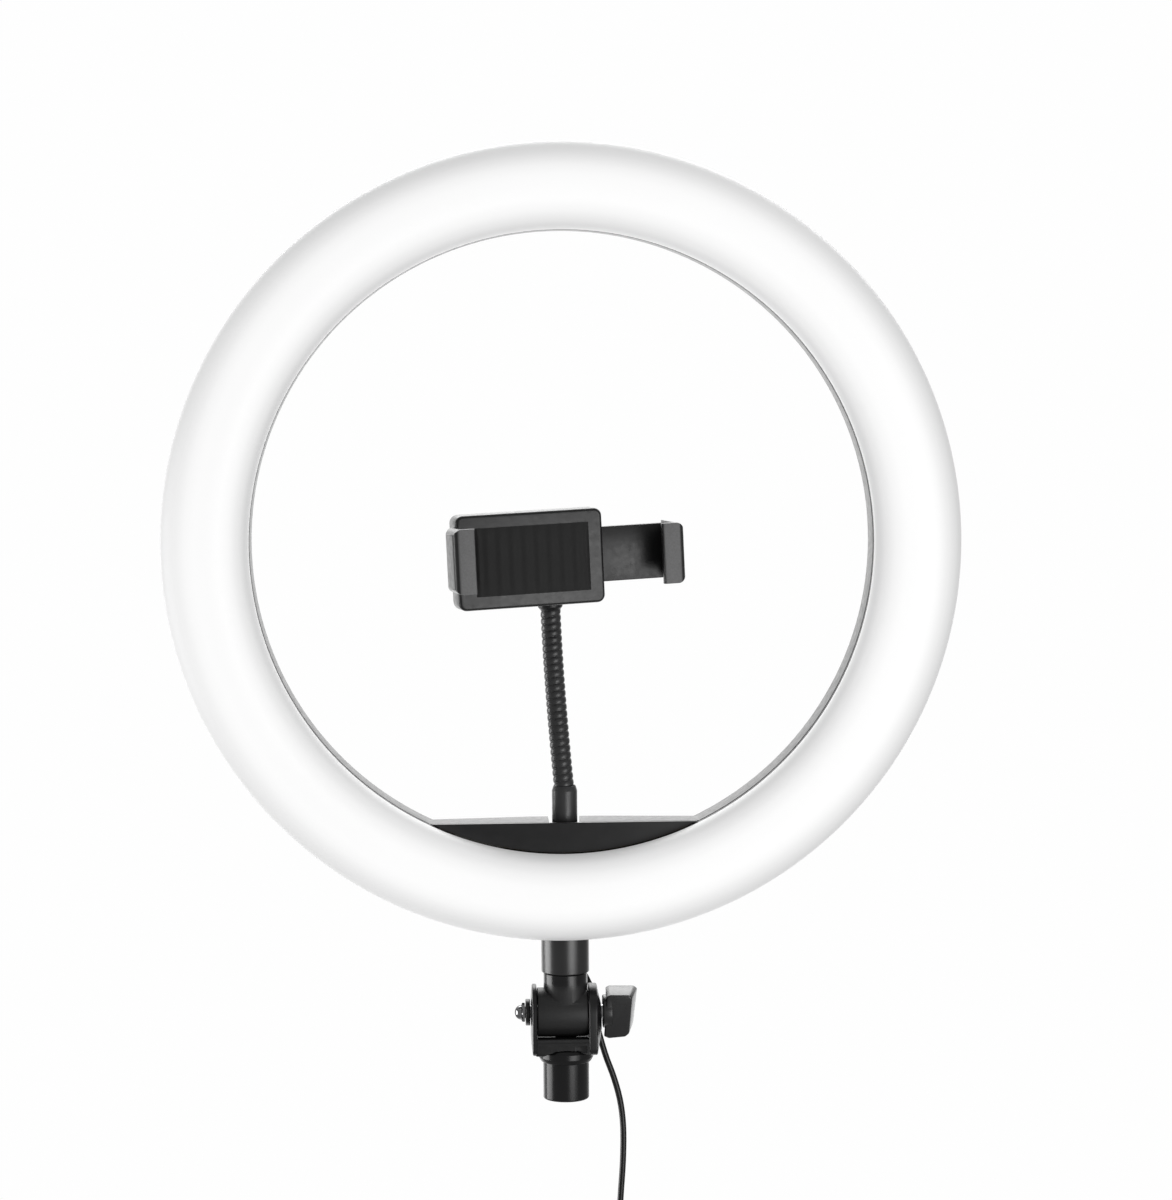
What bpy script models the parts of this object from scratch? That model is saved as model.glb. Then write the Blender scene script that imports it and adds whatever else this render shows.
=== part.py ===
"""Ring light, 330 mm across, with tilting yoke bracket, flexible phone holder
and a cord with an in-line controller.  Units: metres.  +Z up, the lit face
looks along -Y.  Origin: centre of the stand socket's mouth."""
import math

import bmesh
import bpy
from mathutils import Matrix, Vector

MM = 0.001

# ---------------------------------------------------------------- dimensions (mm)
RING_R_OUT = 165.0          # outer radius of the light ring
RING_R_IN = 129.0           # inner radius
RING_Z = 234.5              # height of the ring centre
PART_Y = -11.0              # parting plane between diffuser and rear housing
HOUSING_DEPTH = 23.0
WALL = 2.0
DIFFUSER_BULGE = 15.0
DIFFUSER_WALL = 1.6
CHORD_Z = -116.1            # bridge's straight top edge, from the ring centre
RING_STEPS = 44

PIVOT_Z = 36.7              # tilt axis height
POST_R = 9.2
SLEEVE_R = 10.05
BARREL_R = 10.3

SOCKET_R = 9.7
COLLAR_R = 11.55
THREAD_HOLE_R = 3.1

GOOSE_R = 4.3
CLAMP_AT = (0.0, -14.0, 229.5)
CLAMP_YAW = math.radians(12.0)
CLAMP_ROLL = math.radians(-2.3)
BALL_R = 7.0
BALL_V, BALL_W = 26.5, -2.0

CORD_R = 1.35

# ---------------------------------------------------------------- scene set-up
for old in list(bpy.data.objects):
    bpy.data.objects.remove(old, do_unlink=True)

PARTS = bpy.data.collections.new("ring_light")
CUTTERS = bpy.data.collections.new("cutters")
bpy.context.scene.collection.children.link(PARTS)
bpy.context.scene.collection.children.link(CUTTERS)


def material(name, colour, roughness, metallic=0.0, transmission=0.0):
    m = bpy.data.materials.new(name)
    m.use_nodes = True
    b = m.node_tree.nodes["Principled BSDF"]
    b.inputs["Base Color"].default_value = (*colour, 1.0)
    b.inputs["Roughness"].default_value = roughness
    b.inputs["Metallic"].default_value = metallic
    b.inputs["Transmission Weight"].default_value = transmission
    m.diffuse_color = (*colour, 1.0)
    return m


DIFFUSER = material("white_diffuser", (0.93, 0.93, 0.93), 0.35)
SATIN = material("satin_black_plastic", (0.022, 0.022, 0.023), 0.32)
MATT = material("matt_black_plastic", (0.035, 0.035, 0.036), 0.55)
RUBBER = material("black_rubber", (0.03, 0.03, 0.03), 0.75)
CORD_PVC = material("black_cord_pvc", (0.018, 0.018, 0.018), 0.35)
STEEL = material("zinc_steel", (0.62, 0.62, 0.63), 0.3, 1.0)
CHROME = material("chrome_steel", (0.82, 0.82, 0.83), 0.08, 1.0)
BRASS = material("brass", (0.72, 0.55, 0.25), 0.3, 1.0)
BOARD = material("white_circuit_board", (0.85, 0.86, 0.84), 0.5)
GREEN = material("green_circuit_board", (0.03, 0.22, 0.10), 0.5)
LED_COOL = material("cool_led", (0.95, 0.93, 0.75), 0.4)
LED_WARM = material("warm_led", (0.95, 0.72, 0.25), 0.4)
CHIP = material("black_epoxy", (0.02, 0.02, 0.02), 0.6)
SPRING = material("spring_steel", (0.5, 0.5, 0.52), 0.25, 1.0)

# frames in which the parts are drawn
RING_FRAME = Matrix.Translation(Vector((0, PART_Y, RING_Z)) * MM) @ Matrix.Rotation(math.pi / 2, 4, "X")
CLAMP_FRAME = (Matrix.Translation(Vector(CLAMP_AT) * MM)
               @ Matrix.Rotation(CLAMP_YAW, 4, "Z") @ Matrix.Rotation(CLAMP_ROLL, 4, "Y"))
WORLD = Matrix.Identity(4)


def at(x, y, z, frame=WORLD):
    return frame @ Matrix.Translation(Vector((x, y, z)) * MM)


def along_x(frame):
    """Local +Z of the drawn part points along the frame's +X."""
    return frame @ Matrix.Rotation(math.pi / 2, 4, "Y")


def along_y(frame):
    """Local +Z of the drawn part points along the frame's -Y."""
    return frame @ Matrix.Rotation(math.pi / 2, 4, "X")


# ---------------------------------------------------------------- shape helpers
def add(name, mesh, frame, mat=None, cutter=False):
    ob = bpy.data.objects.new(name, mesh)
    (CUTTERS if cutter else PARTS).objects.link(ob)
    ob.matrix_world = frame
    if cutter:
        ob.hide_render = True
        ob.display_type = "WIRE"
    elif mat:
        mesh.materials.append(mat)
    return ob


def mesh_of(bm, name):
    bmesh.ops.recalc_face_normals(bm, faces=bm.faces[:])
    me = bpy.data.meshes.new(name)
    bm.to_mesh(me)
    bm.free()
    return me


def put_box(bm, lo, hi, m=WORLD):
    size = [(b - a) * MM for a, b in zip(lo, hi)]
    mid = [(a + b) / 2 * MM for a, b in zip(lo, hi)]
    bmesh.ops.create_cube(bm, size=1.0, matrix=m @ Matrix.Translation(mid) @ Matrix.Diagonal((*size, 1)))


def put_cyl(bm, r, z0, z1, seg=24, m=WORLD, r2=None):
    bmesh.ops.create_cone(bm, cap_ends=True, segments=seg, radius1=r * MM,
                          radius2=(r if r2 is None else r2) * MM, depth=(z1 - z0) * MM,
                          matrix=m @ Matrix.Translation((0, 0, (z0 + z1) / 2 * MM)))


def box(name, lo, hi, frame=WORLD, mat=None, cutter=False, bevel=0.0, seg=1):
    bm = bmesh.new()
    put_box(bm, lo, hi)
    ob = add(name, mesh_of(bm, name), frame, mat, cutter)
    if bevel:
        b = ob.modifiers.new("edge_round", "BEVEL")
        b.width = bevel * MM
        b.segments = seg
        b.limit_method = "ANGLE"
    return ob


def cyl(name, r, z0, z1, frame=WORLD, mat=None, cutter=False, seg=32, r2=None):
    bm = bmesh.new()
    put_cyl(bm, r, z0, z1, seg, r2=r2)
    return add(name, mesh_of(bm, name), frame, mat, cutter)


def turned(name, profile, frame=WORLD, mat=None, cutter=False, steps=32, closed=False):
    """Screw modifier about local Z.  An open profile starts and ends on the axis."""
    pts = list(profile)
    loop = pts + [pts[0]]
    area = sum(a[0] * b[1] - b[0] * a[1] for a, b in zip(loop, loop[1:]))
    if area > 0:                       # outer side has to run from top to bottom
        pts.reverse()
    me = bpy.data.meshes.new(name)
    edges = [(i, i + 1) for i in range(len(pts) - 1)]
    if closed:
        edges.append((len(pts) - 1, 0))
    me.from_pydata([(r * MM, 0, z * MM) for r, z in pts], edges, [])
    ob = add(name, me, frame, mat, cutter)
    s = ob.modifiers.new("turn", "SCREW")
    s.axis = "Z"
    s.angle = 2 * math.pi
    s.screw_offset = 0
    s.steps = s.render_steps = steps
    s.use_merge_vertices = True
    s.merge_threshold = 1e-6
    s.use_smooth_shade = True
    return ob


def curve_to_mesh(cu, name, frame, mat, cutter):
    tmp = bpy.data.objects.new(name + "_curve", cu)
    bpy.context.scene.collection.objects.link(tmp)
    tmp.matrix_world = frame
    bpy.context.view_layer.update()
    deps = bpy.context.evaluated_depsgraph_get()
    me = bpy.data.meshes.new_from_object(tmp.evaluated_get(deps))
    bpy.data.objects.remove(tmp, do_unlink=True)
    bm = bmesh.new()
    bm.from_mesh(me)
    bmesh.ops.remove_doubles(bm, verts=bm.verts[:], dist=2e-6)
    bmesh.ops.recalc_face_normals(bm, faces=bm.faces[:])
    bm.to_mesh(me)
    bm.free()
    me.name = name
    me.materials.clear()
    return add(name, me, frame, mat, cutter)


def plate(name, outlines, z0, z1, frame=WORLD, mat=None, cutter=False, bevel=0.0):
    """Flat outline (with holes) from a filled 2D curve, between local z0 and z1."""
    cu = bpy.data.curves.new(name, "CURVE")
    cu.dimensions = "2D"
    cu.fill_mode = "BOTH"
    cu.extrude = (z1 - z0) / 2 * MM
    for pts in outlines:
        sp = cu.splines.new("POLY")
        sp.points.add(len(pts) - 1)
        for p, (x, y) in zip(sp.points, pts):
            p.co = (x * MM, y * MM, 0, 1)
        sp.use_cyclic_u = True
    ob = curve_to_mesh(cu, name, frame @ Matrix.Translation((0, 0, (z0 + z1) / 2 * MM)), mat, cutter)
    if bevel:
        b = ob.modifiers.new("edge_round", "BEVEL")
        b.width = bevel * MM
        b.segments = 1
        b.limit_method = "ANGLE"
        b.angle_limit = math.radians(50)
    return ob


def tube(name, pts, r, frame=WORLD, mat=None, cutter=False, res=2):
    cu = bpy.data.curves.new(name, "CURVE")
    cu.dimensions = "3D"
    cu.bevel_depth = r * MM
    cu.bevel_resolution = res
    cu.use_fill_caps = True
    sp = cu.splines.new("POLY")
    sp.points.add(len(pts) - 1)
    for p, q in zip(sp.points, pts):
        p.co = (q[0] * MM, q[1] * MM, q[2] * MM, 1)
    return curve_to_mesh(cu, name, frame, mat, cutter)


def boolean(ob, other, op="DIFFERENCE"):
    m = ob.modifiers.new(op.lower(), "BOOLEAN")
    m.operation = op
    m.object = other
    m.solver = "EXACT"


def group(name, build, frame=WORLD, mat=None, cutter=False):
    bm = bmesh.new()
    build(bm)
    bmesh.ops.remove_doubles(bm, verts=bm.verts[:], dist=1e-7)
    return add(name, mesh_of(bm, name), frame, mat, cutter)


def arc(cx, cy, r, a0, a1, n):
    return [(cx + r * math.cos(math.radians(a0 + (a1 - a0) * i / n)),
             cy + r * math.sin(math.radians(a0 + (a1 - a0) * i / n))) for i in range(n + 1)]


def ellipse_arc(cx, cy, a, b, a0, a1, n):
    return [(cx + a * math.cos(math.radians(a0 + (a1 - a0) * i / n)),
             cy + b * math.sin(math.radians(a0 + (a1 - a0) * i / n))) for i in range(n + 1)]


def smooth_path(points, step):
    """Points every STEP mm along a centripetal Catmull-Rom curve through POINTS."""
    P = [Vector(p) for p in points]
    P = [2 * P[0] - P[1]] + P + [2 * P[-1] - P[-2]]
    dense = []
    for i in range(1, len(P) - 2):
        p0, p1, p2, p3 = P[i - 1:i + 3]
        t0 = 0.0
        t1 = t0 + (p1 - p0).length ** 0.5
        t2 = t1 + (p2 - p1).length ** 0.5
        t3 = t2 + (p3 - p2).length ** 0.5
        for k in range(24):
            t = t1 + (t2 - t1) * k / 24
            a1 = p0 * ((t1 - t) / (t1 - t0)) + p1 * ((t - t0) / (t1 - t0))
            a2 = p1 * ((t2 - t) / (t2 - t1)) + p2 * ((t - t1) / (t2 - t1))
            a3 = p2 * ((t3 - t) / (t3 - t2)) + p3 * ((t - t2) / (t3 - t2))
            b1 = a1 * ((t2 - t) / (t2 - t0)) + a2 * ((t - t0) / (t2 - t0))
            b2 = a2 * ((t3 - t) / (t3 - t1)) + a3 * ((t - t1) / (t3 - t1))
            dense.append(b1 * ((t2 - t) / (t2 - t1)) + b2 * ((t - t1) / (t2 - t1)))
    dense.append(P[-2].copy())
    length = sum((b - a).length for a, b in zip(dense, dense[1:]))
    n = max(2, round(length / step))
    out, run, k = [dense[0]], 0.0, 0
    for j in range(1, n):
        want = length * j / n
        while run + (dense[k + 1] - dense[k]).length < want:
            run += (dense[k + 1] - dense[k]).length
            k += 1
        f = (want - run) / (dense[k + 1] - dense[k]).length
        out.append(dense[k].lerp(dense[k + 1], f))
    out.append(dense[-1])
    return out


BODIES = {}


def pivot(name, where):
    """Empty on a joint's axis; the body's pieces are its children."""
    e = bpy.data.objects.new("axis_" + name, None)
    e.empty_display_size = 0.01
    PARTS.objects.link(e)
    e.matrix_world = Matrix.Translation(Vector(where) * MM)
    BODIES[name] = e
    return e


def attach(name, *obs):
    bpy.context.view_layer.update()
    e = BODIES[name]
    for ob in obs:
        w = ob.matrix_world.copy()
        ob.parent = e
        ob.matrix_parent_inverse = e.matrix_world.inverted()
        ob.matrix_world = w


# ================================================================ light ring
mid_r = (RING_R_OUT + RING_R_IN) / 2
half_w = (RING_R_OUT - RING_R_IN) / 2
skirt = 2.0
outer = ([(RING_R_OUT, 0.3)] + ellipse_arc(mid_r, skirt, half_w, DIFFUSER_BULGE - skirt, 0, 180, 8)
         + [(RING_R_IN, 0.3)])
inner = ([(RING_R_IN + DIFFUSER_WALL, 0.3)]
         + ellipse_arc(mid_r, skirt, half_w - DIFFUSER_WALL, DIFFUSER_BULGE - skirt - DIFFUSER_WALL, 180, 0, 4)
         + [(RING_R_OUT - DIFFUSER_WALL, 0.3)])
diffuser = turned("diffuser_ring", outer + inner, RING_FRAME, DIFFUSER, steps=RING_STEPS, closed=True)

# rear housing: annular tray, local z runs from 0 (front) to -HOUSING_DEPTH (back)
D = HOUSING_DEPTH
tray = ([(RING_R_OUT, 0.0)] + arc(RING_R_OUT - 5, -D + 5, 5, 0, -90, 2)
        + arc(RING_R_IN + 4, -D + 4, 4, 270, 180, 2)
        + [(RING_R_IN, 0.0), (RING_R_IN + WALL, 0.0), (RING_R_IN + WALL, -D + 4.5), (RING_R_IN + 4.5, -D + WALL),
           (RING_R_OUT - 5.5, -D + WALL), (RING_R_OUT - WALL, -D + 5.5), (RING_R_OUT - WALL, 0.0)])
housing = turned("rear_housing", tray, RING_FRAME, SATIN, steps=RING_STEPS, closed=True)


def bridge_outline(depth_mid, depth_end, y_front):
    """Seen from above (x, world y): flat front, back bowed out around the stem."""
    w = 70.0
    pts = [(-w, y_front), (w, y_front), (w, depth_end)]
    for x in (60, 40, 24, 14):
        pts.append((x, depth_end + (depth_mid - depth_end) * (1 - (x - 14) / 56) ** 1.0))
    for x in (-14, -24, -40, -60):
        pts.append((x, depth_end + (depth_mid - depth_end) * (1 - (-x - 14) / 56) ** 1.0))
    pts.append((-w, depth_end))
    return pts


chord_world = RING_Z + CHORD_Z
seg_out = plate("bridge_outer_form", [bridge_outline(9.5, 3.5, PART_Y + 2.6)],
                RING_Z - RING_R_IN - 0.6, chord_world, WORLD, cutter=True)
disc = cyl("bridge_disc", RING_R_IN + 1.0, -60, 60, RING_FRAME, cutter=True, seg=60)
boolean(seg_out, disc, "INTERSECT")
boolean(housing, seg_out, "UNION")
seg_in = plate("bridge_inner_form", [bridge_outline(7.5, 1.5, PART_Y - 1.0)],
               RING_Z - RING_R_IN - 8, chord_world - WALL, WORLD, cutter=True)
disc_in = cyl("bridge_disc_inner", RING_R_IN + WALL + 0.6, -60, 60, RING_FRAME, cutter=True, seg=60)
boolean(seg_in, disc_in, "INTERSECT")
boolean(housing, seg_in, "DIFFERENCE")


def ring_spots(n, r, start):
    return [(r * math.cos(math.radians(start + 360 * k / n)), r * math.sin(math.radians(start + 360 * k / n)))
            for k in range(n)]


SCREW_SPOTS = ring_spots(6, mid_r - 4, 0)


def bosses(bm):
    for x, y in SCREW_SPOTS:
        put_cyl(bm, 3.2, -D + 1.0, -6.0, 10, Matrix.Translation((x * MM, y * MM, 0)))


def boss_holes(bm):
    for x, y in SCREW_SPOTS:
        put_cyl(bm, 1.5, -D - 2.0, 0.0, 10, Matrix.Translation((x * MM, y * MM, 0)))


boolean(housing, group("boss_form", bosses, RING_FRAME, cutter=True), "UNION")
boolean(housing, group("boss_holes", boss_holes, RING_FRAME, cutter=True), "DIFFERENCE")
# neck hole in the lower wall, stem hole in the bridge's top, cord hole in the back
CORD_HOLE = (4.0, 80.5)
boolean(housing, cyl("neck_hole", SLEEVE_R + 0.3, 60, 76.5, WORLD, cutter=True, seg=28))
boolean(housing, box("pocket_form", (-8.3, -8.3, 113.4), (8.5, 8.9, 117.4), cutter=True), "UNION")
boolean(housing, box("stem_pocket", (-6.5, -20.0, 115.4), (6.7, 20.0, 125.0), cutter=True))
boolean(housing, cyl("stem_hole", 3.4, 110, 122, at(0.3, 0, 0), cutter=True, seg=14))
boolean(housing, cyl("cord_hole", 3.0, -20, -6, along_y(at(CORD_HOLE[0], 0, CORD_HOLE[1])), cutter=True, seg=16))

# bridge front plate: black circular segment, its lower arc just behind the diffuser's inner edge
ang = math.degrees(math.acos(-CHORD_Z / (RING_R_IN - 0.4)))
front_seg = arc(0, 0, RING_R_IN - 0.4, -90 - ang, -90 + ang, 20)
bridge_plate = plate("bridge_front_plate", [front_seg], -2.3, -0.3, RING_FRAME, SATIN)

# light engine
led_board = turned("led_board", [(RING_R_IN + 3.5, -5.6), (RING_R_OUT - 3.5, -5.6), (RING_R_OUT - 3.5, -4.2),
                                 (RING_R_IN + 3.5, -4.2)], RING_FRAME, BOARD, steps=28, closed=True)
boolean(led_board, group("board_holes", boss_holes, RING_FRAME, cutter=True))
boolean(led_board, box("neck_notch", (-14.0, -12.0, 60.0), (14.0, 0.0, 81.5), cutter=True))


def leds(r, start):
    def build(bm):
        for k, (x, y) in enumerate(ring_spots(12, r, start)):
            a = math.radians(start + 30 * k)
            put_box(bm, (-1.75, -1.4, -3.8), (1.75, 1.4, -2.8),
                    Matrix.Translation((x * MM, y * MM, 0)) @ Matrix.Rotation(a, 4, "Z"))
    return build


def led_strip(name, r, start, mat):
    """Thin flexible strip with its row of LED packages."""
    strip = turned(name, [(r - 2.4, -3.95), (r + 2.4, -3.95), (r + 2.4, -3.6), (r - 2.4, -3.6)], RING_FRAME, mat,
                   steps=28, closed=True)
    boolean(strip, group(name + "_packages", leds(r, start), RING_FRAME, cutter=True), "UNION")
    return strip


leds_cool = led_strip("cool_white_led_strip", mid_r + 5.0, 3.5, LED_COOL)
leds_warm = led_strip("warm_white_led_strip", mid_r - 10.0, 10.0, LED_WARM)

HEAD_Z = -D - 0.3


housing_screws = []
for k, (x, y) in enumerate(SCREW_SPOTS):
    housing_screws.append(turned("housing_screw_%d" % (k + 1),
                                 [(0, HEAD_Z - 1.6), (1.6, HEAD_Z - 1.6), (2.6, HEAD_Z - 0.6), (2.6, HEAD_Z),
                                  (1.2, HEAD_Z), (1.2, -2.4), (0, -2.4)], at(x, y, 0, RING_FRAME), STEEL, steps=10))

# driver electronics in the bridge, behind the front plate (board is upright, facing -Y)
driver_board = box("driver_board", (-46, -4.6, 107.5), (-12, -3.0, 115.5), WORLD, GREEN)


def chips(bm):
    put_box(bm, (-42, -3.2, 109), (-37, -1.2, 114))
    put_box(bm, (-33, -3.2, 110), (-29, -0.7, 114))
    put_box(bm, (-25, -3.2, 109), (-19, 0.3, 113.5))
    put_cyl(bm, 1.8, -3.2, 1.6, 10, Matrix.Translation((-15.5 * MM, 0, 112 * MM)) @ Matrix.Rotation(-math.pi / 2, 4, "X"))


boolean(driver_board, group("component_forms", chips, WORLD, cutter=True), "UNION")
wires = tube("head_wiring", smooth_path([(-30, -2.6, 107.0), (-25, 0.5, 101.0), (-16, 3.0, 95.0), (-7, 5.0, 90.0),
                                         (0.5, 6.3, 85.0), (4.0, 7.6, 81.0)], 6), 0.9, WORLD, CORD_PVC, res=1)

# ================================================================ neck
sleeve = turned("neck_sleeve", [(8.0, 53.9), (SLEEVE_R - 0.4, 53.9), (SLEEVE_R, 54.3), (SLEEVE_R, 74.0), (12.0, 74.0),
                                (12.0, 75.6), (5.3, 75.6), (5.3, 72.5), (8.0, 72.5)], WORLD, MATT, steps=28, closed=True)
boolean(sleeve, box("flange_trim", (-20, 5.6, 71.0), (20, 20, 80), cutter=True))
boolean(sleeve, box("flange_trim_front", (-20, -20, 73.6), (20, -10.2, 80), cutter=True))
post = turned("neck_post", [(0, 80.6), (4.9, 80.6), (4.9, 72.1), (7.6, 72.1), (7.6, 53.6), (POST_R, 53.6),
                            (POST_R, PIVOT_Z), (0, PIVOT_Z)], WORLD, SATIN, steps=28)
barrel = cyl("neck_barrel", BARREL_R, -12.0, 9.2, along_x(at(0, 0, PIVOT_Z)), cutter=True, seg=32)
boolean(post, barrel, "UNION")
boolean(post, cyl("pivot_bore", 3.25, -20, 20, along_x(at(0, 0, PIVOT_Z)), cutter=True, seg=20))
boolean(post, cyl("washer_seat", 7.0, -14.0, -10.7, along_x(at(0, 0, PIVOT_Z)), cutter=True, seg=24))
neck_nut = cyl("neck_lock_nut", 7.2, 75.9, 79.6, WORLD @ Matrix.Rotation(math.pi / 6, 4, "Z"), STEEL, seg=6)
boolean(neck_nut, cyl("neck_nut_bore", 5.2, 70, 86, WORLD, cutter=True, seg=16))

friction = turned("tilt_friction_washer", [(3.4, -12.0), (6.7, -12.0), (6.7, -11.0), (3.4, -11.0)],
                  along_x(at(0, 0, PIVOT_Z)), RUBBER, steps=16, closed=True)

# ================================================================ yoke
EAR_IN_L, EAR_IN_R = -12.3, 9.5
EAR_OUT_L, EAR_OUT_R = -14.7, 15.1
EAR_W = 11.4
YOKE_BOTTOM = 19.8
ear_outline = [(-EAR_W, YOKE_BOTTOM), (EAR_W, YOKE_BOTTOM)] + arc(0, PIVOT_Z, 11.9, 0, 180, 14)
ear_outline[0] = (-11.0, YOKE_BOTTOM)
ear_outline[1] = (11.0, YOKE_BOTTOM)
# outline is drawn as (world y, world z) and extruded along X
SIDE = Matrix(((0, 0, 1, 0), (1, 0, 0, 0), (0, 1, 0, 0), (0, 0, 0, 1)))
yoke = plate("yoke_bracket", [ear_outline], EAR_OUT_L, EAR_IN_L, SIDE, SATIN)
ear_r = plate("yoke_ear_right", [ear_outline], EAR_IN_R, EAR_OUT_R, SIDE, cutter=True)
base = box("yoke_base", (EAR_IN_L - 1, -10.6, YOKE_BOTTOM), (EAR_IN_R + 1, 10.6, 26.0), WORLD, cutter=True)
boolean(yoke, base, "UNION")
for lip_y in (-10.6, 9.2):
    boolean(yoke, box("base_lip", (EAR_IN_L - 0.5, lip_y, 25.0), (EAR_IN_R + 0.5, lip_y + 1.4, 27.1), WORLD, cutter=True), "UNION")
boolean(yoke, ear_r, "UNION")
# domed recess for the collar, bolt holes, screw counterbore, recess in the right ear under the knob
boolean(yoke, turned("collar_recess", [(0, 22.1), (10.9, 22.1), (11.7, 21.7), (12.0, 20.8), (12.05, 14.0), (0, 14.0)],
                     WORLD, cutter=True, steps=32))
arch_pts = [(-21.0 * math.sin(math.radians(a)), 1.2 + 21.0 * math.cos(math.radians(a))) for a in range(-28, 29, 7)]
FRONT = Matrix(((1, 0, 0, 0), (0, 0, -1, 0), (0, 1, 0, 0), (0, 0, 0, 1)))
boolean(yoke, plate("arch_cut", [arch_pts + [(9.86, 14), (-9.86, 14)][::-1]], -20, 20, FRONT, cutter=True))
boolean(yoke, cyl("ear_bore", 3.25, -20, 20, along_x(at(0, 0, PIVOT_Z)), cutter=True, seg=20))
boolean(yoke, cyl("swivel_hole", 2.3, 10, 30, WORLD, cutter=True, seg=16))
boolean(yoke, cyl("swivel_counterbore", 4.5, 23.9, 30, WORLD, cutter=True, seg=20))
boolean(yoke, box("rib_recess", (3.5, -12, 21.4), (8.6, -9.9, 24.2), cutter=True))

# acorn nut, washer, bolt and wing knob share the tilt axis
acorn = turned("acorn_nut", [(0, -21.4), (1.6, -21.1), (2.6, -20.2), (3.0, -19.0), (3.0, -18.6), (4.2, -18.2), (4.2, -17.2),
                             (2.65, -17.2), (2.65, -19.9), (0, -20.3)][::-1], along_x(at(0, 0, PIVOT_Z)), CHROME, steps=16)
washer = turned("nut_washer", [(3.3, -16.9), (5.6, -16.9), (5.6, -15.0), (3.3, -15.0)], along_x(at(0, 0, PIVOT_Z)),
                SATIN, steps=16, closed=True)
bolt = turned("pivot_bolt", [(0, -19.6), (2.3, -19.6), (2.3, -17.1), (2.95, -16.8), (2.95, 20.9), (5.0, 20.9), (5.0, 24.0), (0, 24.0)],
              along_x(at(0, 0, PIVOT_Z)), STEEL, steps=14)
TILT = Matrix.Translation((0, 0, PIVOT_Z * MM)) @ Matrix.Rotation(math.radians(12), 4, "X")
knob_outline = [(17.0, 8.6), (18.4, 9.4), (27.6, 9.2), (29.0, 8.0), (27.6, -8.2), (25.6, -9.6), (18.6, -10.2), (17.0, -9.2)]
knob = plate("wing_knob", [knob_outline], -5.6, 5.6, TILT @ FRONT, SATIN)
hub = turned("knob_hub", [(0, 15.5), (6.6, 15.5), (7.0, 16.0), (7.0, 19.5), (0, 19.5)],
             along_x(at(0, 0, PIVOT_Z)), cutter=True, steps=24)
boolean(knob, hub, "UNION")
boolean(knob, turned("knob_bore", [(0, 14.0), (3.25, 14.0), (3.25, 20.6), (5.3, 20.6), (5.3, 24.3), (0, 24.3)],
                     along_x(at(0, 0, PIVOT_Z)), cutter=True, steps=20))

# ================================================================ stand socket
socket = turned("stand_socket", [(4.6, 0.0), (8.9, 0.0), (SOCKET_R, 0.8), (SOCKET_R, 15.9), (10.6, 16.2), (11.3, 17.0),
                                 (COLLAR_R, 18.2), (COLLAR_R, 20.4), (11.2, 21.2), (10.4, 21.7), (2.0, 21.7), (2.0, 12.0),
                                 (4.6, 12.0)], WORLD, SATIN, steps=24, closed=True)
insert = turned("thread_insert", [(THREAD_HOLE_R, 0.6), (4.3, 0.6), (4.3, 11.4), (THREAD_HOLE_R, 11.4)], WORLD, BRASS,
                steps=16, closed=True)
swivel = turned("swivel_screw", [(0, 25.6), (3.6, 25.6), (4.0, 25.2), (4.0, 24.2), (1.7, 24.2), (1.7, 12.4), (0, 12.4)],
                WORLD, STEEL, steps=14)

# ================================================================ stem and gooseneck
stem = turned("stem_ferrule", [(0, 134.0)] + [(GOOSE_R * math.sin(math.radians(a)), 134.0 - GOOSE_R + GOOSE_R * math.cos(math.radians(a)))
                                               for a in (30, 60)]
              + [(GOOSE_R, 134.0 - GOOSE_R), (4.9, 129.2), (5.2, 128.4), (5.2, 115.7), (3.1, 115.7),
                 (3.1, 107.6), (0, 107.6)], at(0.3, 0, 0), STEEL, steps=16)
stem.data.materials[0] = SATIN
stem_nut = cyl("stem_lock_nut", 5.4, 109.2, 113.1, at(0.3, 0, 0), STEEL, seg=6)
boolean(stem_nut, cyl("stem_nut_bore", 3.35, 100, 120, at(0.3, 0, 0), cutter=True, seg=16))

BALL = CLAMP_FRAME @ (Vector((0, BALL_V, BALL_W)) * MM)
W_DIR = (CLAMP_FRAME.to_3x3() @ Vector((0, 0, 1))).normalized()
P_FIRST = Vector((0.3, 0, 134.0 - GOOSE_R)) * MM
P_LAST = BALL - W_DIR * 26.0 * MM


def hermite(t):
    a, b = P_FIRST, P_LAST
    span = (b - a).length
    ta = Vector((-0.09, 0.10, 1.0)).normalized() * span
    tb = W_DIR * span
    return ((2 * t ** 3 - 3 * t ** 2 + 1) * a + (t ** 3 - 2 * t ** 2 + t) * ta
            + (-2 * t ** 3 + 3 * t ** 2) * b + (t ** 3 - t ** 2) * tb)


PIVOTS = [hermite(k / 3) for k in range(4)]


def frame_along(p, q):
    z = (q - p).normalized()
    x = Vector((1, 0, 0))
    x = (x - z * x.dot(z)).normalized()
    y = z.cross(x)
    m = Matrix((x, y, z)).transposed().to_4x4()
    m.translation = p
    return m


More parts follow.
